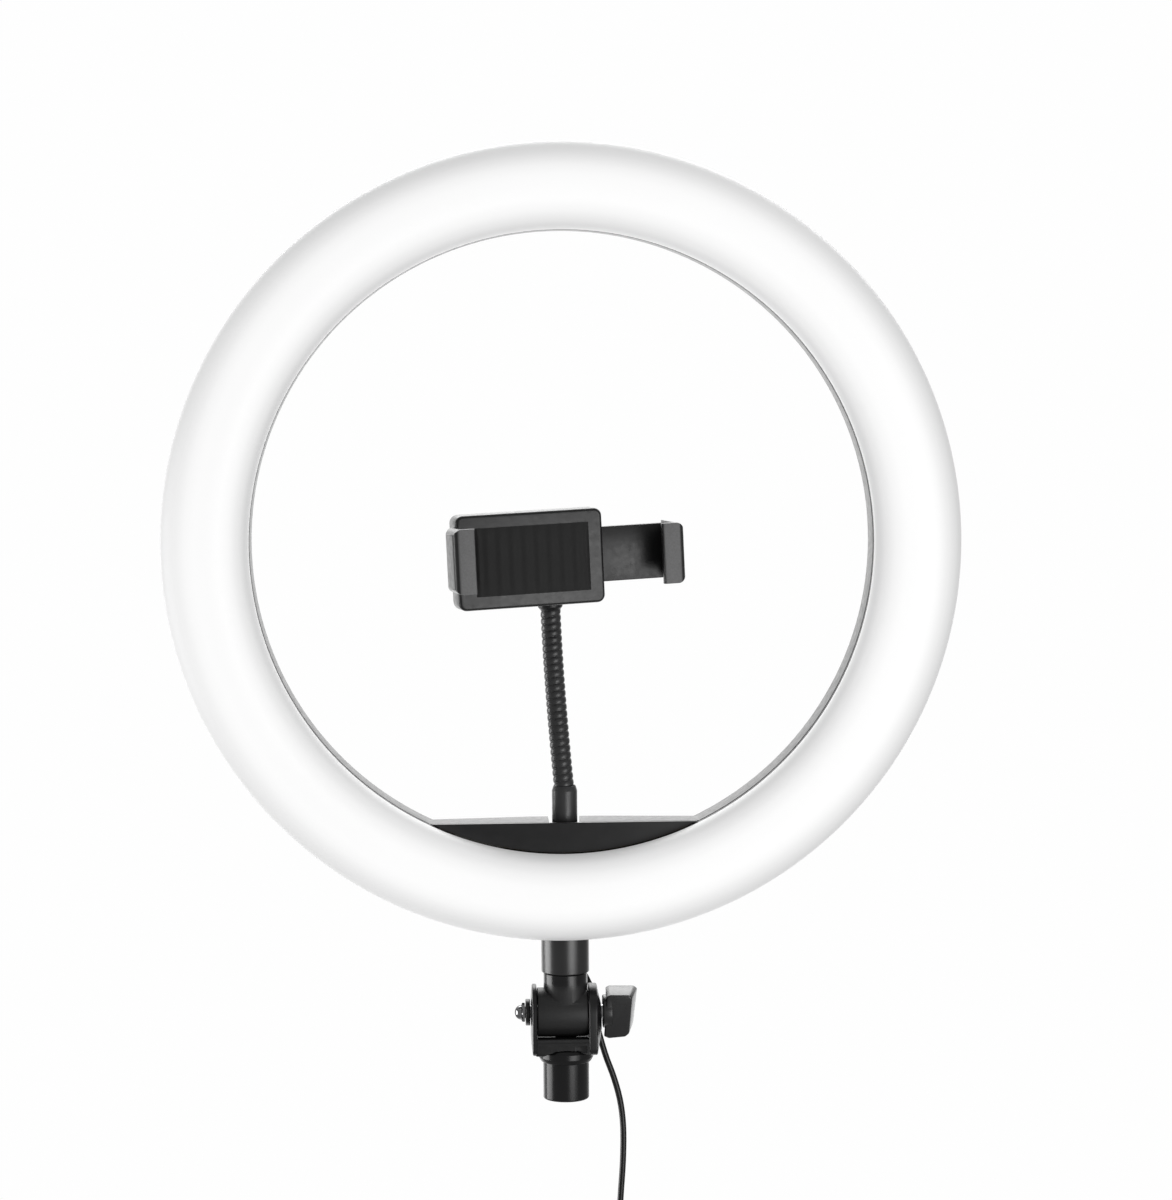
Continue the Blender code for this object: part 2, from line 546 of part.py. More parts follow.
CUP = [(4.6 * math.sin(math.radians(a)), 4.6 * math.cos(math.radians(a))) for a in (0, 16, 33, 49.3)]
segments = []
for k in range(3):
    p, q = PIVOTS[k], PIVOTS[k + 1]
    L = (q - p).length / MM
    prof = (CUP + [(GOOSE_R, 3.0), (GOOSE_R, L)]
            + [(GOOSE_R * math.sin(math.radians(a)), L + GOOSE_R * math.cos(math.radians(a))) for a in (60, 30, 0)])
    segments.append(turned("gooseneck_link_%d" % (k + 1), prof, frame_along(p, q), STEEL, steps=14))
top_prof = CUP + [(GOOSE_R, 3.0), (GOOSE_R, 4.4), (5.2, 5.2), (5.2, 14.2), (3.3, 14.2), (3.3, 8.0), (0, 8.0)]
top_frame = frame_along(PIVOTS[3], BALL)
top_ferrule = turned("gooseneck_top_ferrule", top_prof, top_frame, SATIN, steps=16)
SB = 26.0                                     # ball centre along the top ferrule's axis
ball = turned("ball_stud", [(0, 8.4), (3.0, 8.4), (3.0, SB - math.sqrt(BALL_R ** 2 - 9))]
              + [(BALL_R * math.sin(math.radians(a)), SB - BALL_R * math.cos(math.radians(a))) for a in (45, 70, 95, 120, 145, 165)]
              + [(0, SB + BALL_R)], top_frame, CHROME, steps=16)
liner_in = [((BALL_R + 0.3) * math.sin(math.radians(a)), -(BALL_R + 0.3) * math.cos(math.radians(a))) for a in (60, 80, 100, 120, 145)]
liner_out = [((BALL_R + 1.3) * math.sin(math.radians(a)), -(BALL_R + 1.3) * math.cos(math.radians(a))) for a in (145, 120, 100, 80, 60)]
ball_frame = at(0, BALL_V, BALL_W, CLAMP_FRAME)
liner = turned("ball_liner", liner_in + liner_out, ball_frame, MATT, steps=16, closed=True)

# ================================================================ phone clamp (clamp frame: u, v, w)
C = CLAMP_FRAME
U_OUT_L, U_LIP_L = -50.0, -40.8
U_OUT_R, U_LIP_R = 46.6, 37.2
JAW_V = -21.0
body = box("clamp_body", (-45.5, -5.0, -19.5), (16.0, 7.7, 19.5), C, SATIN, bevel=2.5, seg=2)
boolean(body, box("body_hollow", (-42.5, -2.6, -17.0), (13.5, 12.0, 17.0), C, cutter=True))
boolean(body, box("slider_slot", (10.0, -1.4, -12.0), (20.0, 2.4, 12.0), C, cutter=True))
jaw_l_outline = [(-41.0, -2.0), (-46.5, -2.0), (U_OUT_L, -5.5), (U_OUT_L, JAW_V + 2.5), (U_OUT_L + 2.5, JAW_V), (U_LIP_L - 1.0, JAW_V),
                 (U_LIP_L, JAW_V + 1.0), (U_LIP_L, JAW_V + 3.0), (-46.6, JAW_V + 3.8), (-46.6, -6.2), (-45.6, -5.0), (-41.0, -5.0)]
boolean(body, plate("fixed_jaw_form", [jaw_l_outline], -11.5, 15.0, C, cutter=True), "UNION")
pad_l = box("fixed_jaw_pad", (-46.3, -16.8, -9.5), (-45.0, -7.0, 13.0), C, RUBBER)
body_pad = box("clamp_body_pad", (-38.0, -6.5, -14.0), (10.0, -5.3, 14.0), C, RUBBER, bevel=1.0)

cover = box("clamp_back_cover", (-45.0, 8.0, -19.0), (15.5, 10.0, 19.0), C, SATIN)
arm = box("ball_arm", (-8.0, 9.0, BALL_W - 3.9), (8.0, 24.0, 7.5), C, cutter=True)
hubcyl = cyl("ball_housing", 11.6, BALL_W - 4.1, BALL_W + 11.2, at(0, BALL_V, 0, C), cutter=True, seg=24)
boolean(cover, arm, "UNION")
boolean(cover, hubcyl, "UNION")
cav = turned("ball_cavity", [(8.6 * math.sin(math.radians(a)), BALL_W + 8.6 * math.cos(math.radians(a))) for a in range(0, 91, 15)]
             + [(8.6, BALL_W - 5), (0, BALL_W - 5)], at(0, BALL_V, 0, C), cutter=True, steps=20)
boolean(cover, cav)
ring_clear = turned("lock_ring_clearance", [(11.65, -14), (15.2, -14), (15.2, BALL_W + 4.6), (11.65, BALL_W + 4.6)],
                    at(0, BALL_V, 0, C), cutter=True, steps=24, closed=True)
boolean(cover, ring_clear)


lock_ring = turned("ball_lock_ring", [(11.9, BALL_W + 4.2), (14.2, BALL_W + 4.2), (14.8, BALL_W + 3.4), (14.8, BALL_W - 6.0),
                                      (14.0, BALL_W - 6.8), (8.4, BALL_W - 6.8), (7.5, BALL_W - 4.5), (11.9, BALL_W - 4.5)],
                   at(0, BALL_V, 0, C), MATT, steps=20, closed=True)

slider = box("sliding_bracket", (-22.0, -0.9, -11.4), (44.0, 1.9, 11.4), C, SATIN)
jaw_r_outline = [(43.0, -1.0), (43.0, 2.2), (44.8, 2.2), (U_OUT_R, 0.4), (U_OUT_R, JAW_V + 2.5), (U_OUT_R - 2.5, JAW_V), (U_LIP_R + 1.0, JAW_V),
                 (U_LIP_R, JAW_V + 1.0), (U_LIP_R, JAW_V + 3.0), (43.2, JAW_V + 3.8)]
boolean(slider, plate("sliding_jaw_form", [jaw_r_outline], -12.4, 12.4, C, cutter=True), "UNION")
boolean(slider, box("spring_tab", (-22.0, 1.0, -9.5), (-20.4, 6.9, 9.5), C, cutter=True), "UNION")
pad_r = box("sliding_jaw_pad", (41.6, -16.8, -10.4), (42.9, -5.6, 10.4), C, RUBBER)


def coil_points(w, u0, u1, turns, r):
    n = turns * 6
    return [(u0 + (u1 - u0) * i / n, 5.0 + r * math.cos(2 * math.pi * i / 6), w + r * math.sin(2 * math.pi * i / 6))
            for i in range(n + 1)]


spring_up = tube("clamp_spring_upper", coil_points(7.0, -40.0, -22.6, 7, 1.7), 0.35, C, SPRING, res=0)
spring_dn = tube("clamp_spring_lower", coil_points(-7.0, -40.0, -22.6, 7, 1.7), 0.35, C, SPRING, res=0)


pins = box("spring_anchor_bar", (-42.2, -1.7, -14.0), (-40.6, 7.2, 14.0), C, STEEL)
boolean(pins, box("anchor_bar_relief", (-44, -1.25, -12.0), (-38, 2.3, 12.0), C, cutter=True))

# ================================================================ cord
relief = turned("cord_strain_relief", [(1.1, -8.6), (4.2, -8.6), (4.2, -9.7), (2.7, -9.7), (2.7, -12.3), (4.6, -12.3),
                                       (4.6, -13.6), (3.5, -14.2), (2.4, -22.0), (1.1, -22.0)],
                along_y(at(CORD_HOLE[0], 0, CORD_HOLE[1])), RUBBER, steps=10, closed=True)
EXIT = (CORD_HOLE[0], 22.3, CORD_HOLE[1])
SPLIT = (11.7, 18.9, 47.6)
upper_pts = smooth_path([EXIT, (4.0, 25.6, 80.3), (4.1, 28.6, 77.2), (4.4, 27.8, 71.5), (5.0, 25.0, 64.0), (6.4, 22.4, 57.5), (8.8, 20.2, 52.0), SPLIT], 4.5)
cord_upper = tube("cord_upper", upper_pts, CORD_R, WORLD, CORD_PVC, res=2)
LOWER = [(11.95, 18.78, 46.95), (12.65, 18.3, 42.3), (12.8, 18.0, 36.0), (13.3, 18.0, 29.5), (14.9, 18.0, 23.0), (17.6, 18.0, 13.5),
         (21.0, 18.0, 4.0), (23.6, 18.0, -6.0), (24.8, 18.0, -16.5), (24.7, 18.0, -31.0), (23.6, 18.0, -47.0), (22.8, 18.0, -60.0)]
lower_pts = smooth_path(LOWER, 5.0)
cord_lower = tube("cord_lower", lower_pts, CORD_R, WORLD, CORD_PVC, res=2)

CTRL_TOP, CTRL_BOT, CTRL_X, CTRL_Y = -60.3, -124.0, 22.8, 18.0
CF = at(CTRL_X, CTRL_Y, 0)
front_shell = box("controller_front_shell", (-8.0, -4.6, CTRL_BOT), (8.0, -0.15, CTRL_TOP), CF, SATIN, bevel=1.6, seg=2)
boolean(front_shell, box("front_shell_hollow", (-6.4, -3.2, CTRL_BOT + 1.8), (6.4, 3.0, CTRL_TOP - 1.8), CF, cutter=True))
rear_shell = box("controller_rear_shell", (-8.0, 0.15, CTRL_BOT), (8.0, 4.6, CTRL_TOP), CF, SATIN, bevel=1.6, seg=2)
boolean(rear_shell, box("rear_shell_hollow", (-6.4, -3.0, CTRL_BOT + 1.8), (6.4, 3.2, CTRL_TOP - 1.8), CF, cutter=True))


ctrl_board = box("controller_board", (-6.0, -0.4, CTRL_BOT + 4.0), (6.0, 1.0, CTRL_TOP - 4.0), CF, GREEN)
BUTTON_Z = (-73.0, -85.5, -98.0, -110.5)
BUTTON_NAMES = ("power_button", "colour_button", "brighter_button", "dimmer_button")


def button_holes(bm):
    for z in BUTTON_Z:
        put_box(bm, (-4.3, -8, z - 4.0), (4.3, -2, z + 4.0))


boolean(front_shell, group("button_openings", button_holes, CF, cutter=True))
buttons = []
for nm, z in zip(BUTTON_NAMES, BUTTON_Z):
    b = box(nm, (-4.0, -5.9, z - 3.7), (4.0, -2.0, z + 3.7), CF, MATT, bevel=0.7)
    buttons.append(b)

COIL_C = (22.8, 18.0, -168.0)
COIL_R, COIL_HALF = 16.2, 5.6
tail_pts = smooth_path([(22.8, 18.0, CTRL_BOT - 0.3), (22.8, 18.0, -130.0), (22.8, 18.0, -137.0), (22.8, 18.0, COIL_C[2] + COIL_R + COIL_HALF + 0.3)], 4.0)
cord_tail = tube("cord_tail", tail_pts, CORD_R, WORLD, CORD_PVC, res=2)
coil = turned("cord_coil", [(COIL_R - COIL_HALF, -COIL_HALF + 1.5), (COIL_R - COIL_HALF + 1.5, -COIL_HALF),
                            (COIL_R + COIL_HALF - 1.5, -COIL_HALF), (COIL_R + COIL_HALF, -COIL_HALF + 1.5),
                            (COIL_R + COIL_HALF, COIL_HALF - 1.5), (COIL_R + COIL_HALF - 1.5, COIL_HALF),
                            (COIL_R - COIL_HALF + 1.5, COIL_HALF), (COIL_R - COIL_HALF, COIL_HALF - 1.5)],
              along_y(at(*COIL_C)), CORD_PVC, steps=22, closed=True)
# short lead from the back of the coil, over in a loop, down into the plug
lead_pts = smooth_path([(35.2, 25.35, -165.5), (35.15, 25.5, -161.0), (34.6, 26.3, -156.4), (32.4, 27.4, -153.0),
                        (28.9, 28.0, -151.6), (25.2, 28.0, -152.8), (23.1, 28.0, -154.9), (22.8, 28.0, -156.5), (22.8, 28.0, -157.55)], 2.6)
cord_lead = tube("cord_plug_lead", lead_pts, CORD_R, WORLD, CORD_PVC, res=2)
plug_body = box("usb_plug_body", (COIL_C[0] - 7.5, COIL_C[1] + COIL_HALF + 0.6, -183.0),
                (COIL_C[0] + 7.5, COIL_C[1] + COIL_HALF + 8.2, -158.0), WORLD, MATT, bevel=1.6, seg=2)
plug_shell = box("usb_plug_shell", (COIL_C[0] - 6.0, COIL_C[1] + COIL_HALF + 2.15, -195.3),
                 (COIL_C[0] + 6.0, COIL_C[1] + COIL_HALF + 6.65, -183.3), WORLD, CHROME)
boolean(plug_shell, box("usb_mouth", (COIL_C[0] - 5.6, COIL_C[1] + COIL_HALF + 2.55, -199.0),
                        (COIL_C[0] + 5.6, COIL_C[1] + COIL_HALF + 6.25, -185.0), cutter=True))

# ================================================================ bodies: empties on the joint axes
pivot("yoke", (0, 0, 22))
pivot("head", (0, 0, PIVOT_Z))
pivot("knob", (0, 0, PIVOT_Z))
for k in range(4):
    pivot("gooseneck_%d" % (k + 1), PIVOTS[k] / MM)
for nm in ("ball_stud", "ball_liner", "clamp", "lock_ring", "sliding_jaw"):
    pivot(nm, BALL / MM)
for nm, z in zip(BUTTON_NAMES, BUTTON_Z):
    pivot(nm, (CTRL_X, CTRL_Y - 4, z))

attach("yoke", yoke, acorn, washer, friction, cord_lower, front_shell, rear_shell, ctrl_board, cord_tail, coil, cord_lead,
       plug_body, plug_shell)
attach("head", diffuser, housing, bridge_plate, led_board, leds_cool, leds_warm, *housing_screws, driver_board,
       wires, sleeve, post, neck_nut, stem, stem_nut, relief, cord_upper)
attach("knob", knob, bolt)
for k, s in enumerate(segments):
    attach("gooseneck_%d" % (k + 1), s)
attach("gooseneck_4", top_ferrule)
attach("ball_stud", ball)
attach("ball_liner", liner)
attach("clamp", body, pad_l, body_pad, cover, pins, spring_up, spring_dn)
attach("lock_ring", lock_ring)
attach("sliding_jaw", slider, pad_r)
for nm, b in zip(BUTTON_NAMES, buttons):
    attach(nm, b)

for ob in PARTS.objects:
    if ob.type == "MESH" and ob.name not in ("driver_board",):
        ob.data.shade_smooth()
        ob.data.set_sharp_from_angle(angle=math.radians(35))
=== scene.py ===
"""Ring light with a tilting bracket, a spiral gooseneck, a phone clamp and a hanging lead.
Metres, +Z up; the lit face looks along -Y.  Lengths below are in millimetres unless noted."""
import math

import bmesh
import bpy
from mathutils import Matrix, Vector


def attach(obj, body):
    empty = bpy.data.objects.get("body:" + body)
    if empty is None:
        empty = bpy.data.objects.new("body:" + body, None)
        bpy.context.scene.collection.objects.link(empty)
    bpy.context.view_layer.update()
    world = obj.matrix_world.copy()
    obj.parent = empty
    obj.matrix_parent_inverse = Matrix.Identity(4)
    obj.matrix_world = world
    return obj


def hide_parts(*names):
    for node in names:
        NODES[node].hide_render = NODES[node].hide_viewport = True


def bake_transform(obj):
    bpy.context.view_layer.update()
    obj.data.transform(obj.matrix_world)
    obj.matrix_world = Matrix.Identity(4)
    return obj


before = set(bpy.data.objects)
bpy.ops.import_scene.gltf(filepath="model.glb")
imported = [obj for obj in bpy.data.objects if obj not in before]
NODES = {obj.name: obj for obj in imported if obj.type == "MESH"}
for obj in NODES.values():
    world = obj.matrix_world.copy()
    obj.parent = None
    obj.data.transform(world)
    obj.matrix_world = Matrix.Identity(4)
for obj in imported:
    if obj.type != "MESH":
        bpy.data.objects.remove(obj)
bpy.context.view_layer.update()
MM = 0.001
PI = math.pi
SCENE = bpy.context.scene

# ============================================================ reference sizes (as the frame has them)
RING_R_OUT, RING_R_IN, RING_Z, PART_Y, DEPTH = 165.0, 129.0, 234.5, -11.0, 23.0
PIVOT_Z = 36.7
RING = Matrix.Translation(Vector((0, PART_Y, RING_Z)) * MM) @ Matrix.Rotation(PI / 2, 4, "X")
CLAMP = (Matrix.Translation(Vector((0.0, -14.0, 229.5)) * MM)
         @ Matrix.Rotation(math.radians(12.0), 4, "Z") @ Matrix.Rotation(math.radians(-2.3), 4, "Y"))
WORLD = Matrix.Identity(4)
SIDE = Matrix(((0, 0, 1, 0), (1, 0, 0, 0), (0, 1, 0, 0), (0, 0, 0, 1)))
FRONT = Matrix(((1, 0, 0, 0), (0, 0, -1, 0), (0, 1, 0, 0), (0, 0, 0, 1)))


def at(x, y, z, m=WORLD):
    return m @ Matrix.Translation(Vector((x, y, z)) * MM)


def along_x(m):
    return m @ Matrix.Rotation(PI / 2, 4, "Y")


def along_y(m):
    return m @ Matrix.Rotation(PI / 2, 4, "X")


TILT_AXIS = along_x(at(0, 0, PIVOT_Z))

# ============================================================ camera
cam_data = bpy.data.cameras.new("camera")
cam = bpy.data.objects.new("camera", cam_data)
SCENE.collection.objects.link(cam)
SCENE.camera = cam
cam_data.sensor_fit = "AUTO"
cam_data.sensor_width = 36.0
cam_data.lens = 94.78
cam_data.clip_start = 0.05
cam_data.clip_end = 60.0
yaw, pitch, roll = (math.radians(a) for a in (2.412, -4.522, -0.448))
fwd = Vector((math.sin(yaw) * math.cos(pitch), math.cos(yaw) * math.cos(pitch), math.sin(pitch)))
right = Vector((math.cos(yaw), -math.sin(yaw), 0.0))
up = right.cross(fwd)
r2 = right * math.cos(roll) + up * math.sin(roll)
u2 = -right * math.sin(roll) + up * math.cos(roll)
eye = Vector((-45.3, -1311.0, 314.1)) * MM
cam.matrix_world = Matrix((r2, u2, -fwd)).transposed().to_4x4()
cam.matrix_world.translation = eye
SCENE.view_settings.view_transform = "Standard"
SCENE.view_settings.look = "None"


# ============================================================ node helpers
class Nodes:
    def __init__(self, name):
        self.mat = bpy.data.materials.new(name)
        self.mat.use_nodes = True
        self.t = self.mat.node_tree
        self.bsdf = self.t.nodes["Principled BSDF"]
        self.coord = self.t.nodes.new("ShaderNodeTexCoord").outputs["Object"]

    def link(self, a, b):
        self.t.links.new(a, b)

    def new(self, kind, **values):
        n = self.t.nodes.new(kind)
        for k, v in values.items():
            if k in n.inputs:
                n.inputs[k].default_value = v
            else:
                setattr(n, k, v)
        return n

    def noise(self, scale, detail=2.0, rough=0.5, stretch=None):
        src = self.coord
        if stretch:
            m = self.new("ShaderNodeMapping")
            m.inputs["Scale"].default_value = stretch
            self.link(src, m.inputs["Vector"])
            src = m.outputs["Vector"]
        n = self.new("ShaderNodeTexNoise", Scale=scale, Detail=detail, Roughness=rough)
        self.link(src, n.inputs["Vector"])
        return n.outputs["Fac"]

    def spread(self, value, lo, hi, a=0.3, b=0.7):
        m = self.new("ShaderNodeMapRange")
        for k, v in (("From Min", a), ("From Max", b), ("To Min", lo), ("To Max", hi)):
            m.inputs[k].default_value = v
        self.link(value, m.inputs["Value"])
        return m.outputs["Result"]

    def ramp(self, value, stops):
        r = self.new("ShaderNodeValToRGB")
        e = r.color_ramp.elements
        while len(e) > 1:
            e.remove(e[0])
        e[0].position, e[0].color = stops[0][0], (*stops[0][1], 1)
        for p, c in stops[1:]:
            s = e.new(p)
            s.color = (*c, 1)
        self.link(value, r.inputs["Fac"])
        return r.outputs["Color"]

    def math(self, op, a, b=None):
        m = self.new("ShaderNodeMath", operation=op)
        for i, v in enumerate((a, b)):
            if v is None:
                continue
            if isinstance(v, (int, float)):
                m.inputs[i].default_value = v
            else:
                self.link(v, m.inputs[i])
        return m.outputs[0]

    def mix(self, fac, a, b):
        m = self.new("ShaderNodeMix", data_type="RGBA")
        self.link(fac, m.inputs["Factor"])
        for sock, v in ((m.inputs[6], a), (m.inputs[7], b)):
            if isinstance(v, tuple):
                sock.default_value = (*v, 1)
            else:
                self.link(v, sock)
        return m.outputs[2]

    def bump(self, height, strength, distance, before=None):
        b = self.new("ShaderNodeBump", Strength=strength, Distance=distance)
        self.link(height, b.inputs["Height"])
        if before is not None:
            self.link(before, b.inputs["Normal"])
        self.link(b.outputs["Normal"], self.bsdf.inputs["Normal"])
        return b.outputs["Normal"]

    def set(self, **values):
        for k, v in values.items():
            sock = self.bsdf.inputs[k.replace("_", " ")]
            if hasattr(v, "is_output"):
                self.link(v, sock)
            elif isinstance(v, tuple):
                sock.default_value = (*v, 1)
            else:
                sock.default_value = v


def plastic(name, colour, rough, spec=0.5, grain=1400.0, grain_h=0.00003, strength=0.25, spread=0.06, edge=0.35, finish_and_painted_light_zone=None):
    """Moulded plastic: spark-eroded grain, faint flow marks, edges rubbed smoother and a little paler."""
    n = Nodes(name)
    flow = n.noise(38.0, 3.0, 0.55)
    fine = n.noise(grain, 2.0, 0.6)
    dust = n.noise(420.0, 4.0, 0.6)
    geo = n.new("ShaderNodeNewGeometry")
    rub = n.spread(geo.outputs["Pointiness"], 0.0, edge, 0.52, 0.62)
    base = n.mix(n.spread(flow, 0.0, 1.0), tuple(c * 0.8 for c in colour), tuple(min(1, c * 1.25) for c in colour))
    base = n.mix(rub, base, tuple(min(1, c * 1.9 + 0.004) for c in colour))
    r = n.math("ADD", n.spread(dust, rough - spread, rough + spread), n.math("MULTIPLY", rub, -0.12))
    if finish_and_painted_light_zone:
        # an area of the same moulding with another tone and roughness, found along one axis of the piece: another
        # finish on the post; on the jaws a painted light grey on their front faces, standing in for the light they
        # catch
        origin, axis, a, b, other, more_rough = finish_and_painted_light_zone
        off = n.new("ShaderNodeVectorMath", operation="SUBTRACT")
        off.inputs[1].default_value = origin
        n.link(n.coord, off.inputs[0])
        dot = n.new("ShaderNodeVectorMath", operation="DOT_PRODUCT")
        dot.inputs[1].default_value = axis
        n.link(off.outputs[0], dot.inputs[0])
        mask = n.spread(dot.outputs["Value"], 0.0, 1.0, a, b)
        base = n.mix(mask, base, n.mix(n.spread(fine, 0.0, 1.0), tuple(c * 0.9 for c in other), tuple(c * 1.1 for c in other)))
        r = n.math("ADD", r, n.math("MULTIPLY", mask, more_rough))
    n.set(Base_Color=base)
    n.set(Roughness=r)
    n.set(Specular_IOR_Level=spec)
    n.bump(fine, strength, grain_h)
    return n.mat


def metal(name, colour, rough, brushed=None, edge=None):
    n = Nodes(name)
    fine = n.noise(900.0, 3.0, 0.6, stretch=brushed)
    blot = n.noise(60.0, 3.0, 0.6)
    n.set(Base_Color=n.mix(n.spread(blot, 0, 1), tuple(c * 0.86 for c in colour), colour), Metallic=1.0)
    n.set(Roughness=n.spread(fine, rough * 0.7, rough * 1.4))
    if edge:
        n.set(Specular_Tint=edge)
    n.bump(fine, 0.12, 0.00002)
    return n.mat


SATIN = plastic("satin_black_plastic", (0.0085, 0.0085, 0.009), 0.34, 0.42)
GLOSSY = plastic("glossy_black_plastic", (0.006, 0.006, 0.0063), 0.20, 0.45, 900.0, 0.00001, 0.15, 0.04)
SLEEVE = plastic("semi_gloss_black_plastic", (0.017, 0.017, 0.0173), 0.29, 0.66, 1200.0, 0.000006, 0.1, 0.015)
KNOB = plastic("knob_black_plastic", (0.0085, 0.0085, 0.0088), 0.30, 0.78, spread=0.03)
SOCKET = plastic("socket_black_plastic", (0.009, 0.009, 0.0093), 0.22, 0.34, 900.0, 0.000006, 0.1, 0.015)
POST = plastic("post_black_plastic", (0.0065, 0.0065, 0.0068), 0.20, 0.45, 900.0, 0.000008, 0.12, 0.02,
               finish_and_painted_light_zone=((0, 0, 0), (0, 0, 1), 0.0500, 0.0470, (0.0185, 0.0185, 0.0188), 0.26))
MATT = plastic("matt_black_plastic", (0.016, 0.016, 0.0165), 0.50, 0.45, 1100.0, 0.00005, 0.4)
HOUSING = plastic("housing_black_plastic", (0.012, 0.012, 0.0125), 0.36, 0.50, 1000.0, 0.00004, 0.3)
BUTTON = plastic("button_black_plastic", (0.02, 0.02, 0.021), 0.45, 0.45, 1300.0, 0.00003, 0.3)


def rubber(name, colour, rough):
    n = Nodes(name)
    fine = n.noise(1600.0, 4.0, 0.7)
    dust = n.noise(150.0, 4.0, 0.65)
    n.set(Base_Color=n.mix(n.spread(dust, 0, 1, 0.35, 0.75), colour, tuple(c * 1.7 for c in colour)))
    n.set(Roughness=n.spread(dust, rough - 0.08, rough + 0.08), Specular_IOR_Level=0.35)
    n.bump(fine, 0.5, 0.00006)
    return n.mat


RUBBER = rubber("black_rubber", (0.014, 0.014, 0.014), 0.72)


def cord_sheath():
    """Extruded PVC: glossy, with faint die lines round the cord and small scuffs."""
    n = Nodes("black_cord_pvc")
    wave = n.noise(260.0, 2.0, 0.5)
    scuff = n.noise(1500.0, 3.0, 0.7)
    n.set(Base_Color=n.mix(n.spread(wave, 0, 1), (0.006, 0.006, 0.006), (0.011, 0.011, 0.011)))
    n.set(Roughness=n.spread(scuff, 0.20, 0.30), Specular_IOR_Level=0.34)
    n.bump(wave, 0.1, 0.00003)
    return n.mat


CORD_PVC = cord_sheath()
STEEL = metal("zinc_steel", (0.60, 0.60, 0.61), 0.30, (1, 1, 6))
CHROME = metal("chrome_steel", (0.80, 0.80, 0.81), 0.10)
CAP_NUT = metal("polished_cap_nut", (0.36, 0.36, 0.365), 0.12, edge=(0.06, 0.06, 0.06))
BLACK_STEEL = metal("black_oxide_steel", (0.045, 0.045, 0.047), 0.36, edge=(0.3, 0.3, 0.3))
BRASS = metal("brass", (0.72, 0.53, 0.24), 0.26, (1, 1, 8))
SPRING = metal("spring_steel", (0.50, 0.50, 0.52), 0.24)


def diffuser_material():
    """Frosted acrylic lit from behind: its glow is brightest over the middle of the channel and falls to both rims;
    that fall is partly the LEDs' spread and partly painted shade.
    """
    n = Nodes("white_diffuser")
    shift = n.new("ShaderNodeVectorMath", operation="SUBTRACT")
    shift.inputs[1].default_value = (0, 0, RING_Z * MM)
    n.link(n.coord, shift.inputs[0])
    flat = n.new("ShaderNodeVectorMath", operation="MULTIPLY")
    flat.inputs[1].default_value = (1, 0, 1)
    n.link(shift.outputs[0], flat.inputs[0])
    length = n.new("ShaderNodeVectorMath", operation="LENGTH")
    n.link(flat.outputs[0], length.inputs[0])
    fac = n.spread(length.outputs["Value"], 0.0, 1.0, 0.1285, 0.1655)
    # emission by radius: real lamp glow, with painted shade darkening it toward both rims
    glow = n.ramp(fac, [(0, (0.3,) * 3), (0.055, (0.33,) * 3), (0.1, (0.44,) * 3), (0.21, (0.585,) * 3), (0.33, (0.65,) * 3), (0.47, (0.645,) * 3),
                        (0.6, (0.645,) * 3), (0.7, (0.6,) * 3), (0.79, (0.5,) * 3), (0.89, (0.385,) * 3), (0.96, (0.28,) * 3), (1, (0.17,) * 3)])
    frost = n.noise(700.0, 3.0, 0.6)
    cloud = n.noise(14.0, 2.0, 0.5)
    n.set(Base_Color=n.mix(n.spread(cloud, 0, 1), (0.515, 0.515, 0.515), (0.53, 0.53, 0.53)))
    n.set(Emission_Color=glow, Emission_Strength=1.0, Specular_IOR_Level=0.18)
    n.set(Roughness=n.spread(frost, 0.38, 0.48))
    n.bump(frost, 0.08, 0.00002)
    return n.mat


DIFFUSER = diffuser_material()


def board(name, mask, copper, line_scale):
    """Solder mask over a grid of copper tracks."""
    n = Nodes(name)
    br = n.new("ShaderNodeTexBrick", Scale=line_scale)
    br.inputs["Color1"].default_value = (*mask, 1)
    br.inputs["Color2"].default_value = (*[c * 0.85 for c in mask], 1)
    br.inputs["Mortar"].default_value = (*copper, 1)
    br.inputs["Mortar Size"].default_value = 0.012
    n.link(n.coord, br.inputs["Vector"])
    fine = n.noise(500.0, 3.0, 0.6)
    n.set(Base_Color=br.outputs["Color"], Roughness=n.spread(fine, 0.3, 0.5))
    n.bump(br.outputs["Fac"], 0.3, 0.00004)
    return n.mat


BOARD_WHITE = board("white_circuit_board", (0.82, 0.83, 0.80), (0.70, 0.70, 0.66), 60.0)
BOARD_GREEN = board("driver_circuit_board", (0.012, 0.014, 0.013), (0.035, 0.037, 0.036), 190.0)


def led(name, resin, glow):
    n = Nodes(name)
    cells = n.new("ShaderNodeTexVoronoi", Scale=260.0)
    n.link(n.coord, cells.inputs["Vector"])
    n.set(Base_Color=n.mix(n.spread(cells.outputs["Distance"], 0, 1, 0.0, 0.6), resin, tuple(c * 0.6 for c in resin)))
    n.set(Emission_Color=n.mix(n.spread(cells.outputs["Distance"], 0, 1, 0.0, 0.6), glow, tuple(c * 0.5 for c in glow)),
          Emission_Strength=0.3, Roughness=0.35)
    return n.mat


LED_COOL = led("cool_led", (0.90, 0.88, 0.70), (0.9, 0.95, 1.0))
LED_WARM = led("warm_led", (0.92, 0.68, 0.24), (1.0, 0.8, 0.5))


# ============================================================ mesh helpers
def smooth(me, angle=32):
    me.shade_smooth()
    me.set_sharp_from_angle(angle=math.radians(angle))


def make(name, bm, mat, sharp=32):
    bmesh.ops.remove_doubles(bm, verts=bm.verts[:], dist=1e-7)
    bmesh.ops.recalc_face_normals(bm, faces=bm.faces[:])
    me = bpy.data.meshes.new(name)
    bm.to_mesh(me)
    bm.free()
    if mat:
        me.materials.append(mat)
    smooth(me, sharp)
    ob = bpy.data.objects.new(name, me)
    SCENE.collection.objects.link(ob)
    return ob


